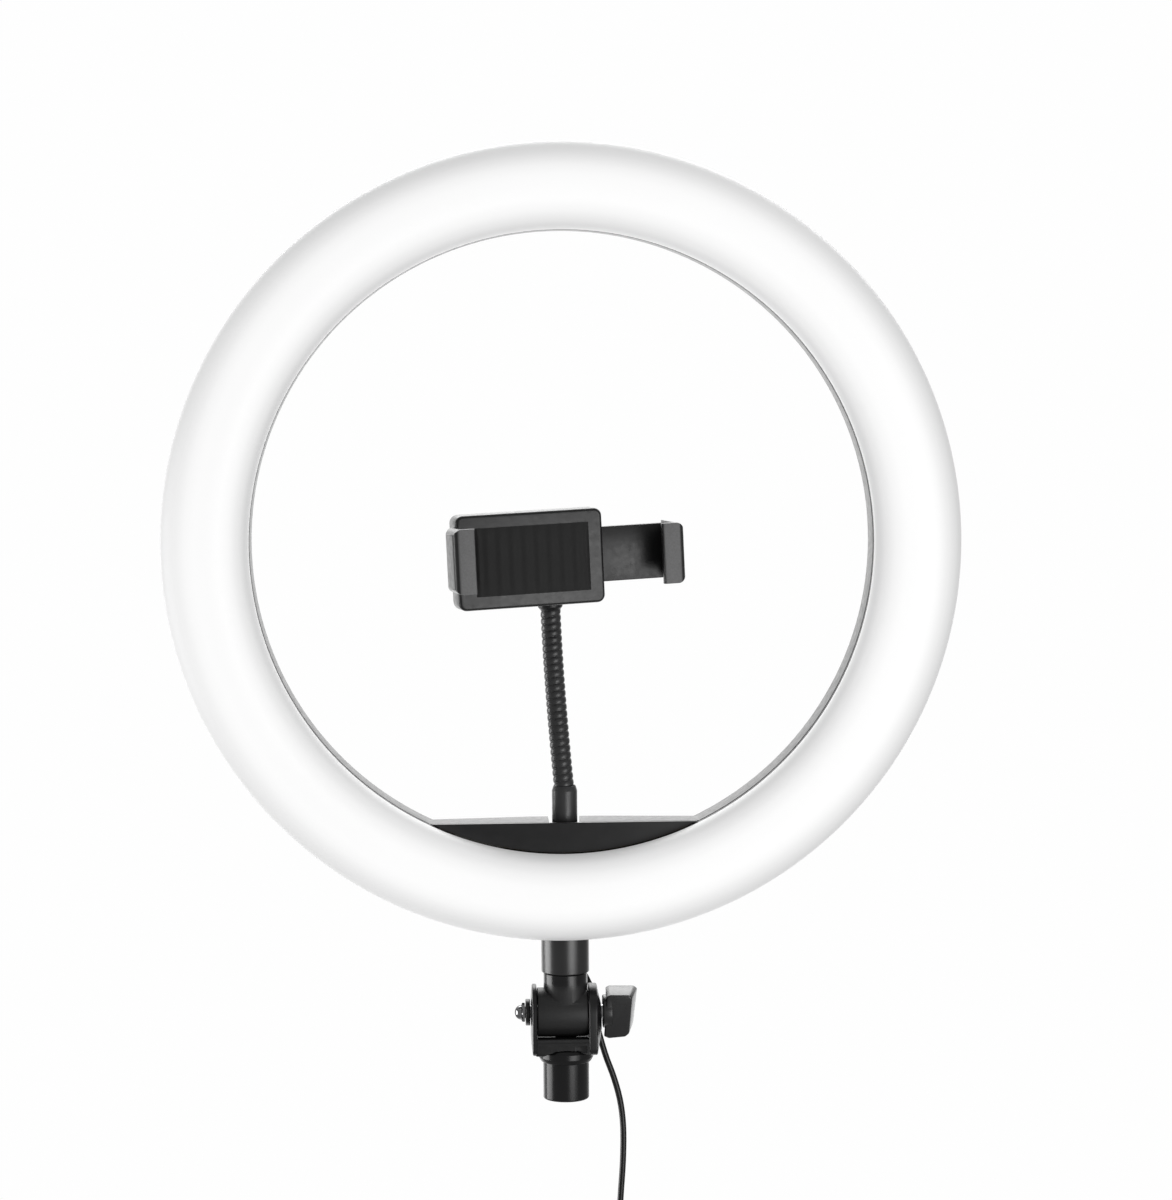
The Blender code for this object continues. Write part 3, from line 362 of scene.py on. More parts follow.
def fillet(points, radii, n=5, closed=True):
    """Round a polygon's corners.  RADII is one radius or one per corner (0 keeps it sharp)."""
    N = len(points)
    if not hasattr(radii, "__len__"):
        radii = [radii] * N
    out = []
    for i, (p, r) in enumerate(zip(points, radii)):
        p = Vector(p)
        if r <= 0 or (not closed and i in (0, N - 1)):
            out.append(tuple(p))
            continue
        a, b = Vector(points[i - 1]) - p, Vector(points[(i + 1) % N]) - p
        la, lb = a.length, b.length
        if la < 1e-9 or lb < 1e-9:
            out.append(tuple(p))
            continue
        a, b = a / la, b / lb
        half = math.acos(max(-1, min(1, a.dot(b)))) / 2
        if half > PI / 2 - 0.03 or half < 0.02:
            out.append(tuple(p))
            continue
        t = min(r / math.tan(half), 0.49 * la, 0.49 * lb)
        rr = t * math.tan(half)
        c = p + (a + b).normalized() * (rr / math.sin(half))
        s, e = p + a * t - c, p + b * t - c
        total = s.angle(e)
        side = 1 if s.x * e.y - s.y * e.x > 0 else -1
        k0 = math.atan2(s.y, s.x)
        for k in range(n + 1):
            an = k0 + side * total * k / n
            out.append((c.x + rr * math.cos(an), c.y + rr * math.sin(an)))
    return out


def arc(cx, cy, r, a0, a1, n):
    return [(cx + r * math.cos(math.radians(a0 + (a1 - a0) * i / n)),
             cy + r * math.sin(math.radians(a0 + (a1 - a0) * i / n))) for i in range(n + 1)]


def turned(name, prof, m, mat, steps=64, closed=False, wave=None, sharp=32):
    """Turned about local Z.  PROF holds (radius, z); WAVE(r, z, angle) may change the radius."""
    bm = bmesh.new()
    rings = []
    for r, z in prof:
        if r < 1e-6:
            rings.append([bm.verts.new(m @ (Vector((0, 0, z)) * MM))])
            continue
        ring = []
        for k in range(steps):
            a = 2 * PI * k / steps
            rr = wave(r, z, a) if wave else r
            ring.append(bm.verts.new(m @ (Vector((rr * math.cos(a), rr * math.sin(a), z)) * MM)))
        rings.append(ring)
    pairs = list(zip(rings, rings[1:]))
    if closed:
        pairs.append((rings[-1], rings[0]))
    for p, q in pairs:
        if len(p) == 1 and len(q) == 1:
            continue
        for k in range(steps):
            j = (k + 1) % steps
            if len(p) == 1:
                bm.faces.new((p[0], q[j], q[k]))
            elif len(q) == 1:
                bm.faces.new((p[k], p[j], q[0]))
            else:
                bm.faces.new((p[k], p[j], q[j], q[k]))
    return make(name, bm, mat, sharp)


def bake(ob):
    """Applies the object's modifiers."""
    bpy.context.view_layer.update()
    deps = bpy.context.evaluated_depsgraph_get()
    me = bpy.data.meshes.new_from_object(ob.evaluated_get(deps))
    old = ob.data
    ob.modifiers.clear()
    ob.data = me
    bpy.data.meshes.remove(old)
    return ob


def round_edges(ob, width, segs=3, angle=30):
    b = ob.modifiers.new("round", "BEVEL")
    b.width = width * MM
    b.segments = segs
    b.limit_method = "ANGLE"
    b.angle_limit = math.radians(angle)
    b.harden_normals = False
    bake(ob)
    smooth(ob.data, 40)
    return ob


def prism(name, outline, z0, z1, m, mat, bevel=0.0, segs=3, angle=30):
    """Outline in local x, y drawn out from z0 to z1, with rounded rims."""
    bm = bmesh.new()
    lo = [bm.verts.new(m @ (Vector((x, y, z0)) * MM)) for x, y in outline]
    hi = [bm.verts.new(m @ (Vector((x, y, z1)) * MM)) for x, y in outline]
    bm.faces.new(lo[::-1])
    bm.faces.new(hi)
    n = len(lo)
    for k in range(n):
        j = (k + 1) % n
        bm.faces.new((lo[k], lo[j], hi[j], hi[k]))
    ob = make(name, bm, mat)
    if bevel:
        round_edges(ob, bevel, segs, angle)
    return ob


def block(name, lo, hi, m, mat, bevel=0.0, segs=3):
    return prism(name, [(lo[0], lo[1]), (hi[0], lo[1]), (hi[0], hi[1]), (lo[0], hi[1])], lo[2], hi[2], m, mat, bevel, segs)


def rod(name, r, z0, z1, m, mat=None, seg=64, edge=0.0):
    prof = fillet([(0, z0), (r, z0), (r, z1), (0, z1)], [0, edge, edge, 0], 3, closed=False)
    return turned(name, prof, m, mat, seg)


def combine(ob, others, op="DIFFERENCE", keep=False):
    for other in others:
        b = ob.modifiers.new(op.lower(), "BOOLEAN")
        b.operation = op
        b.object = other
        b.solver = "EXACT"
    bake(ob)
    for other in others:
        me = other.data
        bpy.data.objects.remove(other, do_unlink=True)
        bpy.data.meshes.remove(me)
    bm = bmesh.new()
    bm.from_mesh(ob.data)
    bmesh.ops.remove_doubles(bm, verts=bm.verts[:], dist=1e-6)
    bmesh.ops.dissolve_degenerate(bm, edges=bm.edges[:], dist=1e-7)
    bm.to_mesh(ob.data)
    bm.free()
    smooth(ob.data, 35)
    return ob


def pipe(name, pts, r, mat, sides=16, caps=True, up_hint=None):
    """Tube whose ring centres are PTS (metres); R in metres, one or one per point."""
    n = len(pts)
    rad = r if hasattr(r, "__len__") else [r] * n
    tang = [(pts[min(i + 1, n - 1)] - pts[max(i - 1, 0)]).normalized() for i in range(n)]
    x = tang[0].orthogonal().normalized() if up_hint is None else (up_hint - tang[0] * up_hint.dot(tang[0])).normalized()
    bm = bmesh.new()
    rings = []
    for i in range(n):
        x = (x - tang[i] * x.dot(tang[i])).normalized()
        y = tang[i].cross(x)
        rings.append([bm.verts.new(pts[i] + (x * math.cos(2 * PI * k / sides) + y * math.sin(2 * PI * k / sides)) * rad[i])
                      for k in range(sides)])
    for p, q in zip(rings, rings[1:]):
        for k in range(sides):
            j = (k + 1) % sides
            bm.faces.new((p[k], p[j], q[j], q[k]))
    if caps:
        bm.faces.new(rings[0][::-1])
        bm.faces.new(rings[-1])
    me = bpy.data.meshes.new(name)
    bmesh.ops.recalc_face_normals(bm, faces=bm.faces[:])
    bm.to_mesh(me)
    bm.free()
    me.materials.append(mat)
    smooth(me, 50)
    ob = bpy.data.objects.new(name, me)
    SCENE.collection.objects.link(ob)
    return ob


def smooth_path(points, step):
    """Points every STEP mm along a centripetal Catmull-Rom curve through POINTS."""
    P = [Vector(p) for p in points]
    P = [2 * P[0] - P[1]] + P + [2 * P[-1] - P[-2]]
    dense = []
    for i in range(1, len(P) - 2):
        p0, p1, p2, p3 = P[i - 1:i + 3]
        t0 = 0.0
        t1 = t0 + (p1 - p0).length ** 0.5
        t2 = t1 + (p2 - p1).length ** 0.5
        t3 = t2 + (p3 - p2).length ** 0.5
        for k in range(24):
            t = t1 + (t2 - t1) * k / 24
            a1 = p0 * ((t1 - t) / (t1 - t0)) + p1 * ((t - t0) / (t1 - t0))
            a2 = p1 * ((t2 - t) / (t2 - t1)) + p2 * ((t - t1) / (t2 - t1))
            a3 = p2 * ((t3 - t) / (t3 - t2)) + p3 * ((t - t2) / (t3 - t2))
            b1 = a1 * ((t2 - t) / (t2 - t0)) + a2 * ((t - t0) / (t2 - t0))
            b2 = a2 * ((t3 - t) / (t3 - t1)) + a3 * ((t - t1) / (t3 - t1))
            dense.append(b1 * ((t2 - t) / (t2 - t1)) + b2 * ((t - t1) / (t2 - t1)))
    dense.append(P[-2].copy())
    length = sum((b - a).length for a, b in zip(dense, dense[1:]))
    n = max(2, round(length / step))
    out, run, k = [dense[0]], 0.0, 0
    for j in range(1, n):
        want = length * j / n
        while run + (dense[k + 1] - dense[k]).length < want:
            run += (dense[k + 1] - dense[k]).length
            k += 1
        f = (want - run) / (dense[k + 1] - dense[k]).length
        out.append(dense[k].lerp(dense[k + 1], f))
    out.append(dense[-1])
    return out


def place(ob, body, slot, *nodes):
    """Rides on BODY and stands for NODES; SLOT is not used."""
    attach(ob, body)
    if nodes:
        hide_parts(*nodes)
    return ob


# ============================================================ cord: route first
EXIT = (4.0, 22.3, 80.5)
CORD_R, CORD_LENGTH = 1.35, 1800.0
UPPER = [EXIT, (4.0, 25.3, 80.25), (4.05, 28.6, 78.3), (4.15, 29.9, 74.6), (4.45, 28.5, 69.2), (5.0, 25.7, 63.4), (5.8, 22.9, 57.6),
         (7.0, 20.9, 52.2)]
LOWER = [(9.7, 19.3, 46.9), (11.9, 18.4, 42.0), (12.8, 18.0, 36.4), (13.3, 18.0, 29.5), (14.9, 18.0, 23.0), (17.6, 18.0, 13.5),
         (21.0, 18.0, 4.0), (23.6, 18.0, -6.0), (24.8, 18.0, -16.5), (24.7, 18.0, -31.0), (23.6, 18.0, -47.0),
         (22.8, 18.0, -60.0)]
COIL_C, COIL_R, COIL_HALF = Vector((22.8, 18.0, -168.0)), 16.2, 5.4
PITCH = 2.72
hang = smooth_path(UPPER + LOWER + [(22.8, 18.0, -75.0), (22.8, 18.0, -100.0), (22.8, 18.0, -124.0), (22.8, 18.0, -134.0)], 3.0)
layer_r = [COIL_R + PITCH * k for k in (1.5, 0.5, -0.5, -1.5)]
col_y = [PITCH * k for k in (-1.5, -0.5, 0.5, 1.5)]


def coil_spot(radius, y, turn):
    a = 2 * PI * turn
    return COIL_C + Vector((radius * math.cos(a), y, radius * math.sin(a)))


def ease(t):
    t = max(0.0, min(1.0, t))
    return t * t * (3 - 2 * t)


START = 0.33                     # joins the outer layer on its upper left side


def winding(turns):
    """Turns beside each other, column by column, then one layer further in."""
    out, per = [], 40
    n = int(round(turns * per))
    for i in range(n + 1):
        t = turns * i / n
        k, f = int(t), t - int(t)
        k = min(k, 15)
        layer, col = k // 4, k % 4
        c = col if layer % 2 == 0 else 3 - col
        nk = min(k + 1, 15)
        nl, nc = nk // 4, nk % 4
        nc = nc if nl % 2 == 0 else 3 - nc
        s = ease((f - 0.82) / 0.18)
        radius = layer_r[layer] * (1 - s) + layer_r[nl] * s
        y = col_y[c] * (1 - s) + col_y[nc] * s
        out.append(coil_spot(radius, y, START + t))
    return out


def joined(*runs):
    pts = [p for run in runs for p in run]
    out = [pts[0]]
    for p in pts[1:]:
        if (p - out[-1]).length > 0.6:
            out.append(p)
    return out


def length_of(pts):
    return sum((b - a).length for a, b in zip(pts, pts[1:]))


LEAD_IN = [(22.8, 18.0, -134.0), (22.7, 17.6, -139.5), (21.2, 16.4, -144.6), (17.9, 14.9, -148.0)]
LEAD_OUT = [(35.2, 25.35, -165.5), (35.3, 25.4, -160.0), (34.5, 26.5, -154.5), (32.1, 27.4, -151.9), (29.0, 27.9, -151.1),
            (25.9, 28.0, -151.9), (23.6, 28.0, -154.2), (22.8, 28.0, -157.7)]


def whole_cord(turns):
    w = winding(turns)
    first, last = w[0], w[-1]
    back = (w[1] - w[0]).normalized()
    lead_in = smooth_path([tuple(p) for p in (*[Vector(q) for q in LEAD_IN], first)], 2.4)
    ahead = (w[-1] - w[-2]).normalized()
    # leave the inner layer on its right side, rising, and pass behind the coil
    mid = last + ahead * 2.6 + Vector((0.1, 0.7, 0))
    lead_out = smooth_path([tuple(last), tuple(mid)] + LEAD_OUT[1:], 2.2)
    return joined(hang, lead_in, w, lead_out)


END_TURN = 0.945 - START         # inner end, on the right, heading up
best = None
for whole in range(10, 16):
    pts = whole_cord(whole + END_TURN)
    if best is None or abs(length_of(pts) - CORD_LENGTH) < abs(length_of(best) - CORD_LENGTH):
        best = pts
        TURNS = whole + END_TURN
route = [p * MM for p in best]
print("cord route %.1f mm, %.2f turns, %d points" % (length_of(best), TURNS, len(best)))
cord = pipe("lead_cord", route, CORD_R * MM, CORD_PVC, sides=14)
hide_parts("cord_upper", "cord_lower", "cord_tail", "cord_coil", "cord_plug_lead")
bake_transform(cord)

# ============================================================ light ring
MID_R, HALF_W = (RING_R_OUT + RING_R_IN) / 2, (RING_R_OUT - RING_R_IN) / 2
BULGE, SKIRT, SHELL = 15.0, 2.0, 1.6


def crown(cx, cy, a, b, a0, a1, n):
    return [(cx + a * math.cos(math.radians(a0 + (a1 - a0) * i / n)),
             cy + b * math.sin(math.radians(a0 + (a1 - a0) * i / n))) for i in range(n + 1)]


# snap lip at the foot of each rim, a fine step, then the rolled front
outer = ([(RING_R_OUT - 0.5, 0.3), (RING_R_OUT - 0.1, 0.45), (RING_R_OUT, 0.8), (RING_R_OUT, 1.5)]
         + crown(MID_R, SKIRT, HALF_W, BULGE - SKIRT, 0, 180, 44)
         + [(RING_R_IN, 1.5), (RING_R_IN, 0.8), (RING_R_IN + 0.1, 0.45), (RING_R_IN + 0.5, 0.3)])
inner = ([(RING_R_IN + SHELL, 0.3)] + crown(MID_R, SKIRT, HALF_W - SHELL, BULGE - SKIRT - SHELL, 180, 0, 24)
         + [(RING_R_OUT - SHELL, 0.3)])
diffuser = turned("diffuser", outer + inner, RING, DIFFUSER, 224, closed=True)
place(diffuser, "head", "diffuser", "diffuser_ring")

# rear housing: annular tray with rolled corners, a shallow step behind the rim and the bridge
D = DEPTH
tray_outline = [(RING_R_OUT, 0.0), (RING_R_OUT, -1.6), (RING_R_OUT - 0.35, -1.9), (RING_R_OUT - 0.35, -3.2), (RING_R_OUT, -3.5),
                (RING_R_OUT, -D), (RING_R_IN, -D), (RING_R_IN, -3.5), (RING_R_IN + 0.35, -3.2), (RING_R_IN + 0.35, -1.9),
                (RING_R_IN, -1.6), (RING_R_IN, 0.0),
                (RING_R_IN + 2, 0.0), (RING_R_IN + 2, -D + 2), (RING_R_OUT - 2, -D + 2), (RING_R_OUT - 2, 0.0)]
radii = [0.3, 0.1, 0.1, 0.1, 0.1, 5.0, 4.0, 0.1, 0.1, 0.1, 0.1, 0.3, 0.3, 2.4, 3.2, 0.3]
tray = fillet(tray_outline, radii, 6)
housing = turned("rear_housing_shell", tray, RING, HOUSING, 176, closed=True)
chord = RING_Z - 116.1


def bridge_form(name, mid, end, y_front, z_low, z_top, bevel):
    w = 70.0
    pts = [(-w, y_front), (w, y_front), (w, end)]
    for x in (56, 40, 26, 14):
        pts.append((x, end + (mid - end) * (1 - (x - 14) / 56)))
    for x in (-14, -26, -40, -56):
        pts.append((x, end + (mid - end) * (1 - (-x - 14) / 56)))
    pts.append((-w, end))
    pts = fillet(pts, [0, 0, 0, 0, 0, 0, 6, 6, 0, 0, 0, 0], 5)
    return prism(name, pts, z_low, z_top, WORLD, HOUSING, bevel, 4, 50)


seg = bridge_form("bridge_form", 9.5, 3.5, PART_Y + 2.6, RING_Z - RING_R_IN - 0.6, chord, 0.9)
combine(seg, [rod("disc", RING_R_IN + 0.9, -60, 60, RING, seg=176)], "INTERSECT")
combine(housing, [seg], "UNION")
void = bridge_form("bridge_void", 7.5, 1.5, PART_Y - 1.0, RING_Z - RING_R_IN - 8, chord - 2.0, 0)
combine(void, [rod("disc_in", RING_R_IN + 2.6, -60, 60, RING, seg=120)], "INTERSECT")
combine(housing, [void])
combine(housing, [block("pocket_form", (-8.3, -8.2, 113.4), (8.5, 8.9, 117.4), WORLD, HOUSING)], "UNION")
combine(housing, [block("stem_pocket", (-6.5, -20.0, 115.4), (6.7, 20.0, 125.0), WORLD, HOUSING, 0.3, 2), rod("neck_hole", 10.35, 60, 76.5, WORLD, seg=64), rod("stem_hole", 3.4, 110, 122, at(0.3, 0, 0), seg=40),
                  rod("cord_hole", 3.0, -20, -6, along_y(at(4.0, 0, 80.5)), seg=40)])
smooth(housing.data, 28)
place(housing, "head", "satin_black", "rear_housing")

ang = math.degrees(math.acos(116.1 / (RING_R_IN - 0.4)))
seg_pts = arc(0, 0, RING_R_IN - 0.4, -90 - ang, -90 + ang, 72)
bridge_plate = prism("bridge_cover_plate", seg_pts, -2.3, -0.3, RING, SATIN, 0.35, 3, 40)
place(bridge_plate, "head", "satin_black", "bridge_front_plate")


def cross_screw(name, m, r_head, z_face, z_under, r_shank, z_tip, mat):
    """Pan head with a cross recess; the head faces local -Z."""
    prof = fillet([(0, z_face), (r_head * 0.72, z_face), (r_head, z_face + (z_under - z_face) * 0.55), (r_head, z_under),
                   (r_shank, z_under), (r_shank, z_tip), (0, z_tip)], [0, 0.5, 0.25, 0.1, 0.1, 0.15, 0], 3, closed=False)
    ob = turned(name, prof, m, mat, 40)
    w, d = r_head * 0.17, (z_under - z_face) * 0.55
    cuts = []
    for k in range(2):
        bm = bmesh.new()
        mm = m @ Matrix.Rotation(PI / 2 * k + 0.4, 4, "Z")
        top = [(-r_head * 0.58, -w), (r_head * 0.58, -w), (r_head * 0.58, w), (-r_head * 0.58, w)]
        bot = [(x * 0.55, y * 0.8) for x, y in top]
        lo = [bm.verts.new(mm @ (Vector((x, y, z_face - 0.3)) * MM)) for x, y in top]
        hi = [bm.verts.new(mm @ (Vector((x, y, z_face + d)) * MM)) for x, y in bot]
        bm.faces.new(lo[::-1])
        bm.faces.new(hi)
        for i in range(4):
            bm.faces.new((lo[i], lo[(i + 1) % 4], hi[(i + 1) % 4], hi[i]))
        cuts.append(make(name + "_cross_%d" % k, bm, None))
    combine(cuts[0], [cuts[1]], "UNION")
    return combine(ob, [cuts[0]])


for k in range(6):
    a = math.radians(60 * k)
    m = at((MID_R - 4) * math.cos(a), (MID_R - 4) * math.sin(a), 0, RING)
    s = cross_screw("back_screw_%d" % (k + 1), m, 2.6, -D - 1.9, -D - 0.3, 1.2, -2.4, BLACK_STEEL)
    place(s, "head", "steel", "housing_screw_%d" % (k + 1))

# ============================================================ neck
sleeve = turned("neck_sleeve_cover", fillet([(8.0, 53.9), (10.05, 53.9), (10.05, 75.6), (5.3, 75.6), (5.3, 72.5), (8.0, 72.5)],
                                            [0.2, 0.5, 0.3, 0.1, 0.1, 0.1], 5), WORLD, SLEEVE, 96, closed=True)
place(sleeve, "head", "matt_black", "neck_sleeve")
post = turned("neck_swivel_post", fillet([(0, 80.6), (4.9, 80.6), (4.9, 72.1), (7.6, 72.1), (7.6, 53.6), (9.2, 53.6),
                                          (9.2, PIVOT_Z), (0, PIVOT_Z)], [0, 0.4, 0.1, 0.3, 0.1, 0.3, 0, 0], 4, closed=False),
              WORLD, POST, 96)
combine(post, [turned("barrel", fillet([(0, -12.0), (10.3, -12.0), (10.3, 9.2), (0, 9.2)], [0, 0.4, 0.5, 0], 4, closed=False),
                      TILT_AXIS, POST, 96)], "UNION")
combine(post, [rod("bore", 3.25, -20, 20, TILT_AXIS, seg=48), rod("washer_seat", 7.0, -14.0, -10.7, TILT_AXIS, seg=64)])
place(post, "head", "satin_black", "neck_post")
friction = turned("friction_disc", fillet([(3.4, -12.0), (6.7, -12.0), (6.7, -11.0), (3.4, -11.0)], 0.25, 3), TILT_AXIS, RUBBER, 72,
                  closed=True)
place(friction, "yoke", "rubber", "tilt_friction_washer")

# ============================================================ yoke bracket
BOTTOM = 19.8


def ear(name, x_in, x_out, slope, rim_r, crown_power=2):
    """Ear plate with a crowned outer face: X_OUT at the middle, SLOPE less at the rim, rolled edge RIM_R."""
    def outline(inset):
        pts = [(-11.0 + inset, BOTTOM + inset), (11.0 - inset, BOTTOM + inset)] + arc(0, PIVOT_Z, 11.9 - inset, 0, 180, 48)
        return fillet(pts, [max(0.4, 3.2 - inset)] * 2 + [0] * 49, 8)
    side = 1 if x_out > x_in else -1
    prof = [(0.35, 0.0), (0.0, 0.35)]
    depth = abs(x_out - x_in)
    top = depth - slope
    prof += [(rim_r * (1 - math.cos(a)), top - rim_r * (1 - math.sin(a))) for a in [PI / 2 * k / 6 for k in range(7)]]
    prof += [(rim_r + d, top + slope * (1 - (1 - d / (9.6 - rim_r)) ** crown_power)) for d in (1.0, 2.0, 3.2, 4.6, 6.2, 8.0, 9.6 - rim_r)]
    bm = bmesh.new()
    rings = []
    for inset, h in prof:
        rings.append([bm.verts.new(SIDE @ (Vector((y, z, x_in + side * h)) * MM)) for y, z in outline(inset)])
    m = len(rings[0])
    for p, q in zip(rings, rings[1:]):
        for k in range(m):
            bm.faces.new((p[k], p[(k + 1) % m], q[(k + 1) % m], q[k]))
    bm.faces.new(rings[0][::-1])
    bm.faces.new(rings[-1])
    return make(name, bm, SATIN, 40)


yoke = ear("yoke_frame", -12.3, -14.7, 0.5, 0.7)
ear_r = ear("ear_right", 9.5, 15.1, 2.0, 0.7, 1)
base = block("base", (-13.0, -10.6, BOTTOM), (10.2, 10.6, 26.0), WORLD, SATIN, 0.7, 3)
lips = [block("lip_%d" % k, (-12.8, y, 25.0), (10.0, y + 4.8, 27.1), WORLD, SATIN, 0.35, 2) for k, y in enumerate((-10.6, 5.8))]
combine(yoke, [base, ear_r] + lips, "UNION")
arch = [(-21.0 * math.sin(math.radians(a)), 1.2 + 21.0 * math.cos(math.radians(a))) for a in range(-28, 29, 2)]
combine(yoke, [turned("dome_recess", fillet([(0, 22.1), (12.05, 22.1), (12.05, 14.0), (0, 14.0)], [0, 1.0, 0, 0], 6, closed=False), WORLD, SATIN, 96),
               prism("arch_cut", arch + [(-9.86, 14), (9.86, 14)], -20, 20, FRONT, SATIN),
               rod("ear_bore", 3.25, -20, 20, TILT_AXIS, seg=40),
               rod("swivel_hole", 2.3, 10, 30, WORLD, seg=32), rod("swivel_counterbore", 4.5, 23.9, 30, WORLD, seg=48),
               block("rib_recess", (3.5, -12, 21.4), (8.6, -10.2, 24.2), WORLD, SATIN, 0.2, 2)])
place(yoke, "yoke", "satin_black", "yoke_bracket")

# acorn nut: hexagon foot, undercut and a domed cap
AC = TILT_AXIS


def hexed(r, z, a):
    """A hexagon's corner radius where the profile is wide, round elsewhere."""
    if r < 3.9:
        return r
    k = PI / 3
    b = (a + k / 2) % k - k / 2
    return min(r, 3.62 / math.cos(b))


acorn = turned("acorn_cap_nut", [(0, -21.4), (0.7, -21.32), (1.4, -21.1), (2.0, -20.75), (2.5, -20.25), (2.85, -19.6), (3.0, -18.95),
                                 (3.0, -18.65), (3.3, -18.55), (3.75, -18.45), (4.18, -18.2), (4.2, -17.4), (4.0, -17.2),
                                 (2.65, -17.2), (2.65, -19.9), (0, -20.3)], AC, CAP_NUT, 96, wave=hexed, sharp=26)
place(acorn, "yoke", "chrome", "acorn_nut")
washer = turned("spacer_washer", fillet([(3.3, -16.9), (5.6, -16.9), (5.6, -15.0), (3.3, -15.0)], 0.4, 4), AC, SATIN, 72, closed=True)
place(washer, "yoke", "satin_black", "nut_washer")


def threaded(name, r, z0, z1, pitch, depth, inside, m, mat, sides=48, outer_r=None, head=None):
    """Helical thread: r is the crest radius; INSIDE cuts it into a bore of a sleeve with radius outer_r."""
    bm = bmesh.new()
    rows = max(8, int((z1 - z0) / pitch * 12))

    def rr(z, a):
        f = ((z - z0) / pitch - a / (2 * PI)) % 1.0
        tri = abs(2 * f - 1)
        fade = min(1.0, (z - z0) / (0.7 * pitch), (z1 - z) / (0.7 * pitch))
        return r + depth * tri * max(0, fade) if inside else r - depth * tri * max(0, fade)
    grid = []
    for i in range(rows + 1):
        z = z0 + (z1 - z0) * i / rows
        grid.append([bm.verts.new(m @ (Vector((rr(z, 2 * PI * k / sides) * math.cos(2 * PI * k / sides),
                                               rr(z, 2 * PI * k / sides) * math.sin(2 * PI * k / sides), z)) * MM))
                     for k in range(sides)])
    extra = []
    if inside:
        for z in (z1, z0):
            extra.append([bm.verts.new(m @ (Vector((outer_r * math.cos(2 * PI * k / sides), outer_r * math.sin(2 * PI * k / sides), z)) * MM))
                          for k in range(sides)])
    rings = grid + extra
    for p, q in zip(rings, rings[1:]):
        for k in range(sides):
            bm.faces.new((p[k], p[(k + 1) % sides], q[(k + 1) % sides], q[k]))
    if inside:
        p, q = rings[-1], rings[0]
        for k in range(sides):
            bm.faces.new((p[k], p[(k + 1) % sides], q[(k + 1) % sides], q[k]))
    else:
        bm.faces.new(rings[0][::-1])
        bm.faces.new(rings[-1])
    return make(name, bm, mat, 25)


# wing knob and its bolt
bolt = turned("tilt_bolt", fillet([(0, -19.6), (2.3, -19.6), (2.3, -17.1), (2.95, -16.8), (2.95, 20.9), (5.0, 20.9), (5.0, 24.0), (0, 24.0)],
                                  [0, 0.3, 0.1, 0.1, 0.1, 0.2, 0.3, 0], 3, closed=False), AC, STEEL, 48)
place(bolt, "knob", "steel", "pivot_bolt")
TILT = Matrix.Translation((0, 0, PIVOT_Z * MM)) @ Matrix.Rotation(math.radians(12), 4, "X")
wing = fillet([(17.0, 8.6), (18.4, 9.4), (27.6, 9.2), (29.0, 8.0), (27.6, -8.2), (25.6, -9.6), (18.6, -10.2), (17.0, -9.2)],
              [0.6, 1.2, 1.2, 1.2, 1.6, 1.6, 1.2, 0.6], 5)
knob = prism("wing_tilt_knob", wing, -5.6, 5.6, TILT @ FRONT, KNOB, 1.15, 4, 45)
inv = (TILT @ FRONT).inverted()
for v in knob.data.vertices:
    q = inv @ v.co / MM
    t = (q.z + 5.6) / 11.2                       # 0 at the back, 1 at the front face
    right = max(0.0, (q.x - 21.0) / 8.0)
    left = max(0.0, (21.0 - q.x) / 4.0)
    low = max(0.0, -q.y / 10.0)
    q.x += right * (1.5 - 2.9 * t) - left * low * 1.2 * t
    v.co = (TILT @ FRONT) @ (q * MM)
combine(knob, [turned("hub", fillet([(0, 15.5), (7.0, 15.5), (7.0, 19.5), (0, 19.5)], [0, 0.6, 0.4, 0], 4, closed=False), AC, SATIN, 72)], "UNION")
combine(knob, [turned("knob_bore", [(0, 14.0), (3.25, 14.0), (3.25, 20.6), (5.3, 20.6), (5.3, 24.3), (0, 24.3)], AC, SATIN, 48)])
place(knob, "knob", "satin_black", "wing_knob")

# ============================================================ stand socket
sock_prof = fillet([(4.6, 0.0), (9.7, 0.0), (9.7, 15.9), (10.7, 16.2), (11.55, 17.9), (11.55, 20.3), (10.6, 21.7), (2.0, 21.7),
                    (2.0, 12.0), (4.6, 12.0)], [0.3, 0.8, 0.15, 0.6, 1.0, 0.8, 0.7, 0.2, 0, 0], 5)
socket = turned("stand_socket_body", sock_prof, WORLD, SOCKET, 112, closed=True)
place(socket, "root", "satin_black", "stand_socket")
insert = threaded("threaded_insert", 3.1, 0.6, 11.4, 1.27, 0.6, True, WORLD, BRASS, 64, outer_r=4.3)
place(insert, "root", "brass", "thread_insert")
swivel = cross_screw("swivel_pan_screw", at(0, 0, 0) @ Matrix.Rotation(PI, 4, "X"), 4.0, -25.6, -24.2, 1.7, -12.4, BLACK_STEEL)
place(swivel, "root", "steel", "swivel_screw")

# ============================================================ stem and spiral gooseneck
BALL_V, BALL_W, BALL_R = 26.5, -2.0, 7.0
BALL = CLAMP @ (Vector((0, BALL_V, BALL_W)) * MM)
W_DIR = (CLAMP.to_3x3() @ Vector((0, 0, 1))).normalized()
P_FIRST, P_LAST = Vector((0.3, 0, 129.7)) * MM, BALL - W_DIR * 26.0 * MM


def neck_line(t):
    a, b = P_FIRST, P_LAST
    span = (b - a).length
    ta, tb = Vector((-0.09, 0.10, 1.0)).normalized() * span, W_DIR * span
    return ((2 * t ** 3 - 3 * t ** 2 + 1) * a + (t ** 3 - 2 * t ** 2 + t) * ta
            + (-2 * t ** 3 + 3 * t ** 2) * b + (t ** 3 - t ** 2) * tb)


PIV = [neck_line(k / 3) for k in range(4)]


